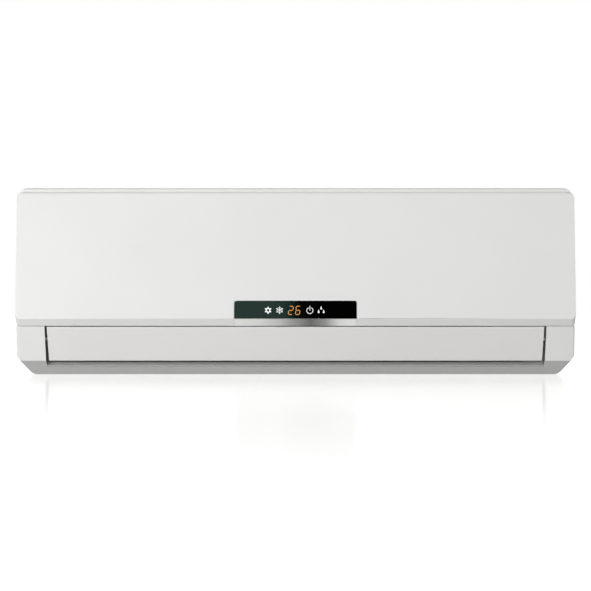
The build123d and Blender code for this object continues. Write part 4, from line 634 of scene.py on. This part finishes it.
class UNIT_OT_display(bpy.types.Operator):
    """Display window with its lit symbols, and the strip under it"""
    bl_idname = "indoor_unit.display"
    bl_label = "Display"

    def execute(self, context):
        look = context.scene.indoor_unit_display
        # polished acrylic mirrors the room; anodised strip under it has a painted reflection, bright at its
        # ends and dull between
        moulded_copy("display_window", gloss_acrylic("PMMA_smoked_polished", look.window_colour,
                                                     look.painted_reflection_colour, *painted_reflection_fade))
        moulded_copy("trim_strip", brushed_metal("Aluminium_brushed_trim", rgb("FAFAF7"), trim_roughness,
                                                 trim_painted_reflection))
        low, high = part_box("display_window")
        glow = lit_print("Print_lit_white", rgb("EEF2F2"), symbol_glow)
        warm = lit_print("Print_lit_amber", look.digit_colour, digit_glow)
        slope = math.atan2(window_lean, high.z - low.z)
        place = Matrix.Translation(Vector((0, low.y, low.z))) @ Matrix.Rotation(math.pi / 2 - slope, 4, "X")
        size = look.symbol_size / mm
        rows = [("symbol_cool", -38.6, symbol_height, sun_symbol(size), glow),
                ("symbol_dry", -22.4, symbol_height, flake_symbol(size), glow),
                ("symbol_fan", 36.2, symbol_height, drops_symbol(size), glow),
                ("symbol_power", 20.2, symbol_height, power_symbol(size), glow)]
        rows += [(name, centre, digit_height, digit_segments(digit), warm)
                 for name, centre, digit in digits]
        for name, centre, height, loops, light in rows:
            loops = [[(centre + across, height + up) for across, up in loop] for loop in loops]
            finish_piece(drawn_shape(name, loops, print_depth, place, light), "panel")
        return {"FINISHED"}


def sun_symbol(size):
    """Six-pointed sun with a hole."""
    star = []
    for point in range(12):
        reach = 0.5 if point % 2 else 0.3
        star.append((size * reach * math.cos(math.radians(30 * point)),
                     size * reach * math.sin(math.radians(30 * point))))
    return [star, circle((0, 0), size * 0.16, 20)[::-1]]


def flake_symbol(size):
    """Six-armed flake, each arm with two short branches."""
    half_arm = [(0.07, 0.035), (0.22, 0.035), (0.33, 0.16), (0.38, 0.12), (0.31, 0.035), (0.5, 0.035)]
    arm = [(along, -over) for along, over in half_arm] + half_arm[::-1]
    outline = []
    for number in range(6):
        turn = math.radians(60 * number + 30)
        outline += [(size * (along * math.cos(turn) - over * math.sin(turn)),
                     size * (along * math.sin(turn) + over * math.cos(turn))) for along, over in arm]
    return [outline]


def drops_symbol(size):
    """Three drops, one over two."""
    drops = []
    for across, up in ((0, 0.2), (-0.32, -0.25), (0.32, -0.25)):
        belly = circle((size * across, size * up), size * 0.12, 12, -205, 25, closed=False)
        drops.append(belly + [(size * across, size * (up + 0.34))])
    return drops


def power_symbol(size):
    """Open ring with a bar in the gap."""
    outer = circle((0, -size * 0.04), size * 0.44, 28, 118, 422, closed=False)
    inner = circle((0, -size * 0.04), size * 0.355, 28, 422, 118, closed=False)
    bar = [(-0.045, -0.06), (0.045, -0.06), (0.045, 0.52), (-0.045, 0.52)]
    return [outer + inner, [(size * across, size * up) for across, up in bar]]


def digit_segments(digit):
    """Slanted seven-segment digit, 7 mm wide and 13 mm high, as bars with mitred ends."""
    half, high, wide, gap, slant = 2.9, 5.8, 1.2, 0.3, 0.12
    lit = {"2": "abged", "6": "acdefg"}[digit]
    places = {"a": ((0, high), 0), "g": ((0, 0), 0), "d": ((0, -high), 0), "f": ((-half, high / 2), 90),
              "b": ((half, high / 2), 90), "e": ((-half, -high / 2), 90), "c": ((half, -high / 2), 90)}
    loops = []
    for segment in lit:
        (across, up), angle = places[segment]
        length = (2 * half if angle == 0 else high) - 2 * gap
        tip = wide / 2
        outline = [(-length / 2, 0), (-length / 2 + tip, -tip), (length / 2 - tip, -tip), (length / 2, 0),
                   (length / 2 - tip, tip), (-length / 2 + tip, tip)]
        if angle:
            outline = [(-b, a) for a, b in outline]
        loops.append([(across + a + slant * (up + b), up + b) for a, b in outline])
    return loops


# ---------------------------------------------------------------- air intake
grille_half, grille_back, grille_front = 352.0, 16.0, 128.0
grille_rows, grille_columns = 5, 6
# slats along the unit: parts of a row, half width, lower and upper height; then the bars that cross them
slat_parts, slat_half, slat_low, slat_high = 3, 0.7, 263.1, 264.7
cross_parts, cross_half, cross_low, cross_high = 5, 0.6, 262.9, 264.4


class UNIT_OT_intake(bpy.types.Operator):
    """Fine slats between the bars of the top grille"""
    bl_idname = "indoor_unit.intake"
    bl_label = "Intake grille"

    def execute(self, context):
        shape = bmesh.new()
        wide = 2 * grille_half / grille_columns
        deep = (grille_front - grille_back) / grille_rows
        for row in range(grille_rows):
            start = grille_back + row * deep
            for column in range(grille_columns):
                left = -grille_half + column * wide
                for middle in middles(start, start + deep, slat_parts):
                    add_block(shape, (left, left + wide), (middle - slat_half, middle + slat_half),
                              (slat_low, slat_high))
                for across in middles(left, left + wide, cross_parts):
                    add_block(shape, (across - cross_half, across + cross_half), (start, start + deep),
                              (cross_low, cross_high))
        slats = bpy.data.objects.new("intake_slats", mesh_of(shape, "intake_slats", smooth=False))
        finish_piece(slats, "casing", bpy.data.materials["ABS_case_satin"])
        return {"FINISHED"}


# ---------------------------------------------------------------- filters
filter_corners = ((158.95, 97.0), (142.10, 252.0), (34.0, 252.0))
filter_bend = 32.0
filter_spans = {"left": (-338.0, -22.3), "right": (-17.7, 298.0)}
filter_border, filter_bar, filter_thickness = 7.0, 3.0, 2.4
# ribs: fields between them, half width and thickness; threads: half width and thickness
level_ribs, upright_ribs = (8, 0.8, 1.8), (10, 0.7, 1.6)
thread_half, thread_thickness = 0.2, 0.3


def filter_route():
    """(depth, height) places along the filter's bent middle line."""
    corners = [Vector((0, *corner)) * mm for corner in filter_corners]
    places = rounded_route(corners, (filter_bend,))
    return [(place.y / mm, place.z / mm) for place in places]


def along_route(route, distance):
    """Place and outward normal at a distance along a route, in millimetres."""
    for start, end in zip(route, route[1:]):
        length = math.dist(start, end)
        if distance <= length or end == route[-1]:
            way = ((end[0] - start[0]) / length, (end[1] - start[1]) / length)
            return (start[0] + way[0] * distance, start[1] + way[1] * distance), (way[1], -way[0])
        distance -= length


def add_strip(shape, route, begin, end, left, right, thickness):
    """Adds a flat bar that follows the route between two distances along it."""
    total, stations = 0.0, [begin]
    for start, stop in zip(route, route[1:]):
        total += math.dist(start, stop)
        if begin < total < end:
            stations.append(total)
    rings = []
    for distance in stations + [end]:
        place, normal = along_route(route, distance)
        rings.append([shape.verts.new(at(across, place[0] + normal[0] * away, place[1] + normal[1] * away))
                      for across, away in ((left, -thickness / 2), (right, -thickness / 2),
                                           (right, thickness / 2), (left, thickness / 2))])
    for before, after in zip(rings, rings[1:]):
        for number in range(4):
            beside = (number + 1) % 4
            shape.faces.new((before[number], before[beside], after[beside], after[number]))
    shape.faces.new(rings[0][::-1])
    shape.faces.new(rings[-1])


class UNIT_OT_filters(bpy.types.Operator):
    """Filter frames with their fine ribs, and the net in them"""
    bl_idname = "indoor_unit.filters"
    bl_label = "Filters"

    def execute(self, context):
        pitch = context.scene.indoor_unit_air.thread_pitch / mm
        frame_plastic = moulded_plastic("PP_filter_frame")
        net_plastic = moulded_plastic("PP_filter_thread")
        route = filter_route()
        length = sum(math.dist(start, end) for start, end in zip(route, route[1:]))
        for side, (left, right) in filter_spans.items():
            frame_shape, net_shape = bmesh.new(), bmesh.new()
            inner_left, inner_right = left + filter_border, right - filter_border
            begin, end = filter_border, length - filter_border
            bar = (inner_left + inner_right) / 2
            for low, high in ((left, inner_left), (inner_right, right),
                              (bar - filter_bar / 2, bar + filter_bar / 2)):
                add_strip(frame_shape, route, 0, length, low, high, filter_thickness)
            for low, high in ((0, begin), (end, length)):
                add_strip(frame_shape, route, low, high, inner_left, inner_right, filter_thickness)
            # the real net has a thread each 0.8 mm; it is drawn coarser so that its weave shows
            threads = int((inner_right - inner_left) / pitch), int((end - begin) / pitch)
            for shape, (count, half, thickness), reach in (
                    (frame_shape, upright_ribs, (left, right)),
                    (net_shape, (threads[0], thread_half, thread_thickness), (inner_left, inner_right))):
                for middle in middles(*reach, count):
                    add_strip(shape, route, begin, end, middle - half, middle + half, thickness)
            for shape, (count, half, thickness) in (
                    (frame_shape, level_ribs), (net_shape, (threads[1], thread_half, thread_thickness))):
                for middle in middles(begin, end, count):
                    add_strip(shape, route, middle - half, middle + half, inner_left, inner_right,
                              thickness)
            body = "filter_" + side
            ribs = bpy.data.objects.new(f"filter_ribs_{side}", mesh_of(frame_shape, "filter_ribs", False))
            finish_piece(ribs, body, frame_plastic, (f"filter_frame_{side}",))
            net = bpy.data.objects.new(f"filter_net_{side}", mesh_of(net_shape, "filter_net", False))
            finish_piece(net, body, net_plastic, (f"filter_mesh_{side}",))
        return {"FINISHED"}


# ---------------------------------------------------------------- coils
coil_lines = {"coil_front_lower": ((144.0, 91.0), (137.0, 164.0)),
              "coil_front_upper": ((133.0, 172.0), (92.5, 236.0)),
              "coil_rear": ((72.5, 236.0), (38.0, 174.0))}
coil_left, coil_right, coil_thickness, coil_plate = -322.0, 262.0, 20.0, 1.2
tube_radius, tube_pitch, tubes_per_coil = 3.5, 19.0, 4
tube_ends = coil_left - coil_plate, coil_right + coil_plate
# a fin: thickness, folds across it, how far they lean, and its distance from the end plates; then the room
# that is left after the last one
fin_foil, fin_folds, fin_lean, fin_inset, fin_room = 0.16, 8, 0.3, 0.6, 0.2
return_steps = 12


def tube_place(coil, number):
    """(depth, height) of a copper tube's middle in a coil."""
    foot, head = coil_lines[coil]
    share = 0.5 + (number - (tubes_per_coil - 1) / 2) * tube_pitch / math.dist(foot, head)
    return foot[0] + (head[0] - foot[0]) * share, foot[1] + (head[1] - foot[1]) * share


class UNIT_OT_coils(bpy.types.Operator):
    """Fins, copper tubes, return bends and end plates of the evaporator"""
    bl_idname = "indoor_unit.coils"
    bl_label = "Coils"

    def execute(self, context):
        pitch = context.scene.indoor_unit_air.fin_pitch
        foil = worked_metal("Aluminium_fin_foil")
        copper = worked_metal("Copper_drawn")
        zinc = spangled_zinc("Steel_galvanised", rgb("BFC3C5"), zinc_crystal)
        dress(["coil_end_plate_left", "coil_end_plate_right"], zinc)
        for coil, (foot, head) in coil_lines.items():
            way = Vector((head[0] - foot[0], head[1] - foot[1])).normalized()
            over = Vector((way.y, -way.x))
            shape = bmesh.new()
            rows = []
            for fold in range(fin_folds + 1):
                away = (fold / fin_folds - 0.5) * coil_thickness
                lean = fin_lean if fold % 2 else -fin_lean
                rows.append([shape.verts.new(at(coil_left + fin_inset + lean, end[0] + over.x * away,
                                                end[1] + over.y * away)) for end in (foot, head)])
            for before, after in zip(rows, rows[1:]):
                shape.faces.new((before[0], before[1], after[1], after[0]))
            fins = bpy.data.objects.new(coil + "_fins", mesh_of(shape, coil + "_fins", False))
            sheet = fins.modifiers.new("foil", "SOLIDIFY")
            sheet.thickness, sheet.offset = fin_foil * mm, 0
            row = fins.modifiers.new("fin_row", "ARRAY")
            row.use_relative_offset, row.use_constant_offset = False, True
            row.constant_offset_displace = (pitch, 0, 0)
            row.count = int((coil_right - coil_left - 2 * fin_inset - fin_room) * mm / pitch)
            finish_piece(fins, "casing", foil, (coil,))
            lines = [[at(across, *tube_place(coil, number)) for across in tube_ends]
                     for number in range(tubes_per_coil)]
            finish_piece(tube(coil + "_tubes", lines, tube_radius), "casing", copper)
        bends = []
        for face, outward, firsts in ((tube_ends[0], -1, (0, 2)), (tube_ends[1], 1, (1,))):
            for coil in coil_lines:
                for first in firsts:
                    start, end = tube_place(coil, first), tube_place(coil, first + 1)
                    arc = []
                    for step in range(return_steps + 1):
                        turn = math.pi * step / return_steps
                        share = 0.5 - 0.5 * math.cos(turn)
                        arc.append(at(face + outward * tube_pitch / 2 * math.sin(turn),
                                      start[0] + (end[0] - start[0]) * share,
                                      start[1] + (end[1] - start[1]) * share))
                    bends.append(arc)
        finish_piece(tube("return_bends_drawn", bends, tube_radius), "casing", copper,
                     ("return_bends",))
        dress(["tube_sensor"], copper)
        return {"FINISHED"}


# ---------------------------------------------------------------- fan
fan_centre, fan_radius, fan_foot = (80.0, 100.0), 43.9, 31.0
fan_left, fan_right, fan_disc, fan_discs = -325.0, 266.0, 2.4, 9
fan_hub, fan_hub_length, fan_hub_gap = 13.0, 18.0, 0.2
journal_bore, shaft_bore = 8.0, 4.4      # radii of the holes in the left and the right end disc
washer_sides = 48
disc_edge = 40                           # turn in degrees from which an edge of the fan is sharp
# a blade: steps along it, thickness, distance from the rim, and how far it leans forward and bows
blade_steps, blade_thickness, blade_rim_gap, blade_lean, blade_bow = 5, 1.1, 0.6, 14, 1.6


def around_fan(radius, degrees):
    """(depth, height) of a place round the fan."""
    return (fan_centre[0] + radius * math.cos(math.radians(degrees)),
            fan_centre[1] + radius * math.sin(math.radians(degrees)))


def add_washer(shape, left, right, outer, inner):
    """Adds a flat ring round the fan's middle."""
    count = washer_sides
    rims = [[shape.verts.new(at(across, *around_fan(radius, 360 * step / count))) for step in range(count)]
            for across, radius in ((left, outer), (right, outer), (right, inner), (left, inner))]
    for before, after in zip(rims, rims[1:] + rims[:1]):
        for step in range(count):
            beside = (step + 1) % count
            shape.faces.new((before[step], before[beside], after[beside], after[step]))


class UNIT_OT_fan(bpy.types.Operator):
    """Cross-flow fan, its bearing and its motor"""
    bl_idname = "indoor_unit.fan"
    bl_label = "Fan"

    def execute(self, context):
        count = context.scene.indoor_unit_air.blade_count
        black = moulded_plastic("AS_glass_filled_black")
        shape = bmesh.new()
        for blade in range(count):
            turn = 360 * blade / count
            outline = []
            steps = range(blade_steps + 1)
            for thickness, order in ((0.0, steps), (blade_thickness, steps[::-1])):
                for step in order:
                    share = step / blade_steps
                    radius = fan_foot + (fan_radius - blade_rim_gap - fan_foot) * share
                    # thickest at its middle
                    lean = (blade_lean * share ** 1.6
                            + thickness * math.sin(math.pi * (0.15 + 0.7 * share)) * blade_bow)
                    outline.append(around_fan(radius, turn + lean))
            add_profile(shape, outline, fan_left + 1, fan_right - 1)
        pitch = (fan_right - fan_left - fan_disc) / (fan_discs - 1)
        for number in range(fan_discs):
            left = fan_left + number * pitch
            inner = {0: journal_bore, fan_discs - 1: shaft_bore}.get(number, fan_foot - 1)
            add_washer(shape, left, left + fan_disc, fan_radius, inner)
        add_washer(shape, fan_right - fan_hub_length, fan_right - fan_hub_gap, fan_hub, shaft_bore)
        rotor = bpy.data.objects.new("fan_blades", mesh_of(shape, "fan_blades", False))
        rotor.data.shade_smooth()
        soften = rotor.modifiers.new("keep_discs_flat", "EDGE_SPLIT")
        soften.split_angle = math.radians(disc_edge)
        finish_piece(rotor, "fan", black, ("fan_rotor",))
        moulded_copy("fan_motor", moulded_plastic("BMC_resin_motor"))
        moulded_copy("bearing_rubber", moulded_plastic("Rubber_black"))
        dress(["fan_bearing"], worked_metal("Bronze_sintered"))
        dress(["fan_journal", "motor_shaft"], worked_metal("Steel_ground"))
        moulded_copy("motor_clamp", bpy.data.materials["Steel_galvanised"])
        return {"FINISHED"}


# ---------------------------------------------------------------- air guides
class UNIT_OT_air_guides(bpy.types.Operator):
    """Upright vanes, their link rods, the louver's supports and its motor"""
    bl_idname = "indoor_unit.air_guides"
    bl_label = "Air guides"

    def execute(self, context):
        dark = moulded_plastic("PBT_vane_painted_shade")
        rod = moulded_plastic("POM_link_black")
        for name in sorted(frame["nodes"]):
            if name.startswith("vane_link"):
                moulded_copy(name, rod, kind="vane_link")
            elif name.startswith("vane_"):
                moulded_copy(name, dark, kind="vane")
        moulded_copy("louver_supports", moulded_plastic("ABS_support_painted_shade"))
        moulded_copy("louver_motor", worked_metal("Steel_tinned_can"))
        moulded_copy("louver_bush", rod)
        dress(["louver_motor_shaft"], bpy.data.materials["Steel_ground"])
        return {"FINISHED"}


# ---------------------------------------------------------------- chassis, tray and wall plate
plate_half, plate_low, plate_high, plate_sheet, plate_corner = 280.0, 49.0, 216.0, 1.2, 12.0
plate_hook, plate_hook_half, plate_reach, plate_foot = 190.0, 20.0, 11.6, 7.6
hook_tip = plate_high + 8.0
plate_fixings = [(across, height) for across in (-225.0, 225.0) for height in (72.5, 192.5)]
fixing_radius = 3.0
# keyholes: half width of the slot, its lower and upper end above the middle, and radius of the round part
keyhole_places = [(across, height) for across in (-120, -60, 0, 60, 120) for height in (66, 186)]
keyhole_shank, keyhole_foot, keyhole_top, keyhole_head = 1.8, 2.2, 9.0, 3.4
# long holes: half length between the middles of their round ends, and radius of these
slot_places = [(across, height) for across in (-170, 170) for height in (72, 150)]
slot_half, slot_radius = 9, 2.2
window_places, window_half, window_radius = ((-90, 128), (90, 128)), 38, 14
pipe_hole_places, pipe_hole_radius = ((-238, 132.5), (238, 132.5)), 22
# pressed ribs: heights, half length, half width at the foot and at the crest, and depth of the crest
rib_heights, rib_length, rib_foot, rib_crest = (54.5, 92.0, 168.0, 205.0), 200, 3, 1.2
rib_top = plate_sheet + 1.6
press_radius, press_angle = 0.25, 40


def keyhole(across, height):
    """Outline of a keyhole: a screw's head goes in below, its shank slides up."""
    left, right = across - keyhole_shank, across + keyhole_shank
    return ([(left, height + keyhole_top), (left, height + keyhole_foot)]
            + circle((across, height), keyhole_head, 12, 130, 410, closed=False)
            + [(right, height + keyhole_foot), (right, height + keyhole_top)])


def slot_outline(across, height, half_length, radius):
    """Outline of a long slot with round ends."""
    return (circle((across + half_length, height), radius, 9, -90, 90, closed=False)
            + circle((across - half_length, height), radius, 9, 90, 270, closed=False))


class UNIT_OT_back(bpy.types.Operator):
    """Chassis, drip tray and the wall plate with its holes, hooks and pressed ribs"""
    bl_idname = "indoor_unit.back"
    bl_label = "Back"

    def execute(self, context):
        look = context.scene.indoor_unit_casing
        grey = moulded_plastic("HIPS_chassis_grey", look.inner_colour)
        moulded_copy("rear_chassis", grey)
        moulded_copy("drip_tray", moulded_plastic("ABS_tray_white"))
        moulded_copy("drain_plug", bpy.data.materials["Rubber_black"])
        moulded_copy("display_housing", grey)
        moulded_copy("pipe_clamp", grey)
        zinc = bpy.data.materials["Steel_galvanised"]
        outline = []
        for across, height, start in ((plate_half, plate_low, -90), (plate_half, plate_high, 0),
                                      (-plate_half, plate_high, 90), (-plate_half, plate_low, 180)):
            centre = (across - math.copysign(plate_corner, across),
                      height + (plate_corner if height == plate_low else -plate_corner))
            outline += circle(centre, plate_corner, 5, start, start + 90, closed=False)
        holes = [circle(place, fixing_radius, 24) for place in plate_fixings]
        holes += [keyhole(*place) for place in keyhole_places]
        holes += [slot_outline(*place, slot_half, slot_radius) for place in slot_places]
        holes += [circle(place, pipe_hole_radius, 36) for place in pipe_hole_places]
        holes += [slot_outline(*place, window_half, window_radius) for place in window_places]
        # an outline that runs the other way is a hole
        loops = [outline] + [hole[::-1] for hole in holes]
        facing = Matrix(((1, 0, 0, 0), (0, 0, 1, -plate_sheet / 2 * mm), (0, 1, 0, underside),
                         (0, 0, 0, 1)))
        sheet = drawn_shape("plate_outline", loops, plate_sheet, facing, None)
        bpy.context.view_layer.update()
        flat = bpy.data.meshes.new_from_object(sheet)
        flat.transform(facing)
        bpy.data.objects.remove(sheet)
        shape = bmesh.new()
        shape.from_mesh(flat)
        bmesh.ops.remove_doubles(shape, verts=shape.verts, dist=sheet_gap * mm)
        for middle in (-plate_hook, plate_hook):
            left, right = middle - plate_hook_half, middle + plate_hook_half
            add_profile(shape, [(0, plate_high - plate_sheet), (plate_reach, plate_high - plate_sheet),
                                (plate_reach, hook_tip), (plate_reach - plate_sheet, hook_tip),
                                (plate_reach - plate_sheet, plate_high), (0, plate_high)], left, right)
            add_block(shape, (left, right), (0, plate_foot), (plate_low, plate_low + plate_sheet))
        for height in rib_heights:
            add_profile(shape, [(plate_sheet, height - rib_foot), (rib_top, height - rib_crest),
                                (rib_top, height + rib_crest), (plate_sheet, height + rib_foot)],
                        -rib_length, rib_length)
        plate = bpy.data.objects.new("wall_plate_pressed", mesh_of(shape, "wall_plate_pressed", False))
        round_edges(plate, press_radius, press_angle, 1)
        finish_piece(plate, "casing", zinc, ("wall_plate",))
        return {"FINISHED"}


# ---------------------------------------------------------------- pipes
pipe_depth, pipe_start = 22.0, 263.2
# where each pipe leaves its coil, its radius, the place across where it drops, its low height and its end
pipe_routes = {"gas_pipe": ((41.39, 180.10), 4.76, 302.0, 18.0, -90.0),
               "liquid_pipe": ((69.11, 229.90), 3.18, 290.0, 36.0, -150.0)}
pipe_bends = (11.2, 16.0, 16.0)


class UNIT_OT_pipes(bpy.types.Operator):
    """Copper pipes with their smooth bends, and the brass flare unions"""
    bl_idname = "indoor_unit.pipes"
    bl_label = "Pipes"

    def execute(self, context):
        copper = bpy.data.materials["Copper_drawn"]
        for name, (start, radius, drop, height, end) in pipe_routes.items():
            middle = start[1] - (start[0] - pipe_depth)
            corners = [at(pipe_start, *start), at(drop, *start), at(drop, pipe_depth, middle),
                       at(drop, pipe_depth, height), at(end, pipe_depth, height)]
            pipe = tube(name + "_drawn", [rounded_route(corners, pipe_bends)], radius)
            finish_piece(pipe, "casing", copper, (name,))
        moulded_copy("flare_nuts", worked_metal("Brass_turned"))
        return {"FINISHED"}


# ---------------------------------------------------------------- electric parts
board_sheet = 1.9                # the board's sheet lies within this distance of an end of its box


class UNIT_OT_electrics(bpy.types.Operator):
    """Electric box with its cover and board, the terminals, and the display and button boards"""
    bl_idname = "indoor_unit.electrics"
    bl_label = "Electric parts"

    def execute(self, context):
        moulded_copy("electric_box", moulded_plastic("ABS_flame_retardant"))
        moulded_copy("electric_cover", bpy.data.materials["Steel_galvanised"])
        moulded_copy("terminal_block", moulded_plastic("PBT_terminal_black"))
        resist = board_laminate("FR4_green_resist", rgb("1F6B45"), rgb("3C8A5E"))
        dress(["display_board", "button_board", "main_board"], resist)
        board = frame["nodes"]["main_board"].data
        board.materials.append(moulded_plastic("Epoxy_component_dark"))
        low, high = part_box("main_board")
        # what stands on the board is dark, the sheet under it green
        for face in board.polygons:
            if min(abs(face.center.x - low.x), abs(face.center.x - high.x)) > board_sheet * mm:
                face.material_index = 1
        return {"FINISHED"}


# ---------------------------------------------------------------- stage
def bright_rays(tree):
    """1 for a ray that the eye follows to the backdrop, straight or by way of gloss or clear plastic."""
    rays = add_node(tree, "ShaderNodeLightPath")
    seen = add_node(tree, "ShaderNodeMath", {"operation": "ADD", "use_clamp": True},
                    links={0: rays.outputs["Is Camera Ray"], 1: rays.outputs["Is Glossy Ray"]})
    return add_node(tree, "ShaderNodeMath", {"operation": "ADD", "use_clamp": True},
                    links={0: seen.outputs[0], 1: rays.outputs["Is Transmission Ray"]}).outputs[0]


def floor_paint(lift_share):
    """Pale lacquered floor: white to the eye, with a soft shadow and a faint mirror of the unit."""
    material, tree, coordinates = start_material("Floor_pale_lacquer")
    shader = add_node(tree, "ShaderNodeBsdfPrincipled", values={"Specular IOR Level": 0.2}, links={
        "Base Color": ramp(tree, noise(tree, coordinates, floor_tone, 2),
                           ((0.3, linear("868684")), (0.7, linear("8A8A88")))),
        "Roughness": between(tree, noise(tree, coordinates, floor_gloss, 2), 0.14, 0.18)})
    level = add_node(tree, "ShaderNodeMath", {"operation": "MULTIPLY"}, {1: lift_share},
                     {0: bright_rays(tree)})
    lift = add_node(tree, "ShaderNodeEmission", values={"Color": (1, 1, 1, 1)},
                    links={"Strength": level.outputs[0]})
    both = add_node(tree, "ShaderNodeAddShader", links={0: shader.outputs[0], 1: lift.outputs[0]})
    end_material(tree, both)
    return material


def card_felt():
    """Black studio felt: dull and nearly without reflection, with a nap drawn coarser than the real one."""
    material, tree, coordinates = start_material("Felt_black")
    nap = ramp(tree, noise(tree, coordinates, felt_nap, 2),
               ((0.3, linear("030303")), (0.7, linear("080808"))))
    shader = add_node(tree, "ShaderNodeBsdfDiffuse", values={"Roughness": 1.0}, links={"Color": nap})
    end_material(tree, shader)
    return material


def stage_sheet(name, corners, material):
    """Flat sheet with four corners that belongs to the stage and not to the unit."""
    mesh = bpy.data.meshes.new(name)
    mesh.from_pydata(corners, [], [(0, 1, 2, 3)])
    mesh.materials.append(material)
    sheet = bpy.data.objects.new(name, mesh)
    bpy.context.scene.collection.objects.link(sheet)
    return sheet


def soft_lamp(name, place, aim, size, power, mirrored):
    """Large area lamp that looks at a place, and shows in gloss where it is mirrored."""
    light = bpy.data.lights.new(name, "AREA")
    light.shape, (light.size, light.size_y), light.energy = "RECTANGLE", size, power
    lamp = bpy.data.objects.new(name, light)
    lamp.location = place
    lamp.visible_glossy = mirrored
    lamp.rotation_euler = (Vector(aim) - Vector(place)).to_track_quat("-Z", "Y").to_euler()
    bpy.context.scene.collection.objects.link(lamp)


# in metres
floor_gap, floor_reach = 0.0002, 7.0
card_across, card_place, card_height = (-0.03, 0.8), -5.0, (0.2, 1.7)
camera_height = -0.0204
sensor_mm, lens_mm = 36.0, 121.3
# lamps: place, aim, width and height, setting of the power and share of it, and whether gloss mirrors it;
# the last two stand behind the wall's plane, so that only the ends and the back gain light
lamps = (("key", (-1.8, -2.7, 0.15), (0, -0.1, 0), (2.2, 1.6), "key_strength", 1, True),
         ("fill", (0.9, -3.4, 0.35), (0.1, -0.1, 0), (1.6, 1.2), "fill_strength", 1, False),
         ("end_light", (3.0, 0.7, 0.15), (0.39, -0.09, 0), (1.2, 1.2), "side_strength", 1, False),
         ("back_light", (-0.8, 3.0, 0.7), (0, 0, 0), (2.0, 1.2), "side_strength", 1.6, False))
# the room darkens towards one side: its direction, from where to where, and light kept before and after
dim_way, dim_from, dim_to, full_share, dim_share = (0.5, -0.1, 0.86), 0.1, 0.8, 1.08, 0.2


class UNIT_OT_stage(bpy.types.Operator):
    """Pale floor, soft light and the camera"""
    bl_idname = "indoor_unit.stage"
    bl_label = "Stage"

    def execute(self, context):
        look = context.scene.indoor_unit_studio
        corners = [(x * floor_reach, y * floor_reach, underside - floor_gap)
                   for x, y in ((-1, -1), (1, -1), (1, 1), (-1, 1))]
        stage_sheet("floor", corners, floor_paint(look.floor_lift))
        # dark card that the right half of the window mirrors, seen by gloss alone
        (left, right), (low, high) = card_across, card_height
        corners = [(x, card_place, z) for x, z in ((left, low), (right, low), (right, high), (left, high))]
        card = stage_sheet("dark_card", corners, card_felt())
        card.visible_camera = card.visible_diffuse = card.visible_shadow = False

        camera = bpy.data.cameras.new("camera")
        camera.sensor_width, camera.lens, camera.clip_end = sensor_mm, lens_mm, 100.0
        held = bpy.data.objects.new("camera", camera)
        held.location = (0, -look.camera_distance, camera_height)
        held.rotation_euler = (math.pi / 2, 0, 0)
        bpy.context.scene.collection.objects.link(held)
        context.scene.camera = held

        for name, place, aim, size, power, share, mirrored in lamps:
            soft_lamp(name, place, aim, size, getattr(look, power) * share, mirrored)

        world = bpy.data.worlds.new("studio")
        context.scene.world = world
        world.use_nodes = True
        tree = world.node_tree
        tree.nodes.clear()
        # the room is a little darker overhead at the right
        way = add_node(tree, "ShaderNodeTexCoord").outputs["Generated"]
        overhead = add_node(tree, "ShaderNodeVectorMath", {"operation": "DOT_PRODUCT"}, {1: dim_way},
                            {0: way})
        room = add_node(tree, "ShaderNodeMapRange", {"interpolation_type": "SMOOTHSTEP"},
                        {"From Min": dim_from, "From Max": dim_to,
                         "To Min": look.room_strength * full_share,
                         "To Max": look.room_strength * dim_share}, {"Value": overhead.outputs["Value"]})
        strength = add_node(tree, "ShaderNodeMapRange", values={"To Max": 1.0},
                            links={"Value": bright_rays(tree), "To Min": room.outputs["Result"]})
        light = add_node(tree, "ShaderNodeBackground", values={"Color": (1, 1, 1, 1)},
                         links={"Strength": strength.outputs["Result"]})
        add_node(tree, "ShaderNodeOutputWorld", links={"Surface": light.outputs[0]})
        context.scene.view_settings.view_transform = "Standard"
        return {"FINISHED"}


class UNIT_PT_panel(bpy.types.Panel):
    """Sidebar panel with the sizes, colours and steps"""
    bl_label = "Indoor unit"
    bl_idname = "UNIT_PT_panel"
    bl_space_type = "VIEW_3D"
    bl_region_type = "UI"
    bl_category = "Indoor unit"

    def draw(self, context):
        for holder, kind in groups.items():
            for name in kind.__annotations__:
                self.layout.prop(getattr(context.scene, holder), name)
        for step in steps:
            self.layout.operator(step.bl_idname)


steps = (UNIT_OT_casing, UNIT_OT_display, UNIT_OT_intake, UNIT_OT_filters, UNIT_OT_coils, UNIT_OT_fan,
         UNIT_OT_air_guides, UNIT_OT_back, UNIT_OT_pipes, UNIT_OT_electrics, UNIT_OT_stage)
groups = {"indoor_unit_casing": CasingSettings, "indoor_unit_display": DisplaySettings,
          "indoor_unit_air": AirSettings, "indoor_unit_studio": StudioSettings}


def register():
    for kind in tuple(groups.values()) + steps + (UNIT_PT_panel,):
        bpy.utils.register_class(kind)
    for name, kind in groups.items():
        setattr(bpy.types.Scene, name, bpy.props.PointerProperty(type=kind))


def unregister():
    for name in groups:
        delattr(bpy.types.Scene, name)
    for kind in reversed(tuple(groups.values()) + steps + (UNIT_PT_panel,)):
        bpy.utils.unregister_class(kind)


def main():
    register()
    bpy.ops.indoor_unit.casing()
    bpy.ops.indoor_unit.display()
    bpy.ops.indoor_unit.intake()
    bpy.ops.indoor_unit.filters()
    bpy.ops.indoor_unit.coils()
    bpy.ops.indoor_unit.fan()
    bpy.ops.indoor_unit.air_guides()
    bpy.ops.indoor_unit.back()
    bpy.ops.indoor_unit.pipes()
    bpy.ops.indoor_unit.electrics()
    bpy.ops.indoor_unit.stage()


if __name__ == "__main__":
    main()
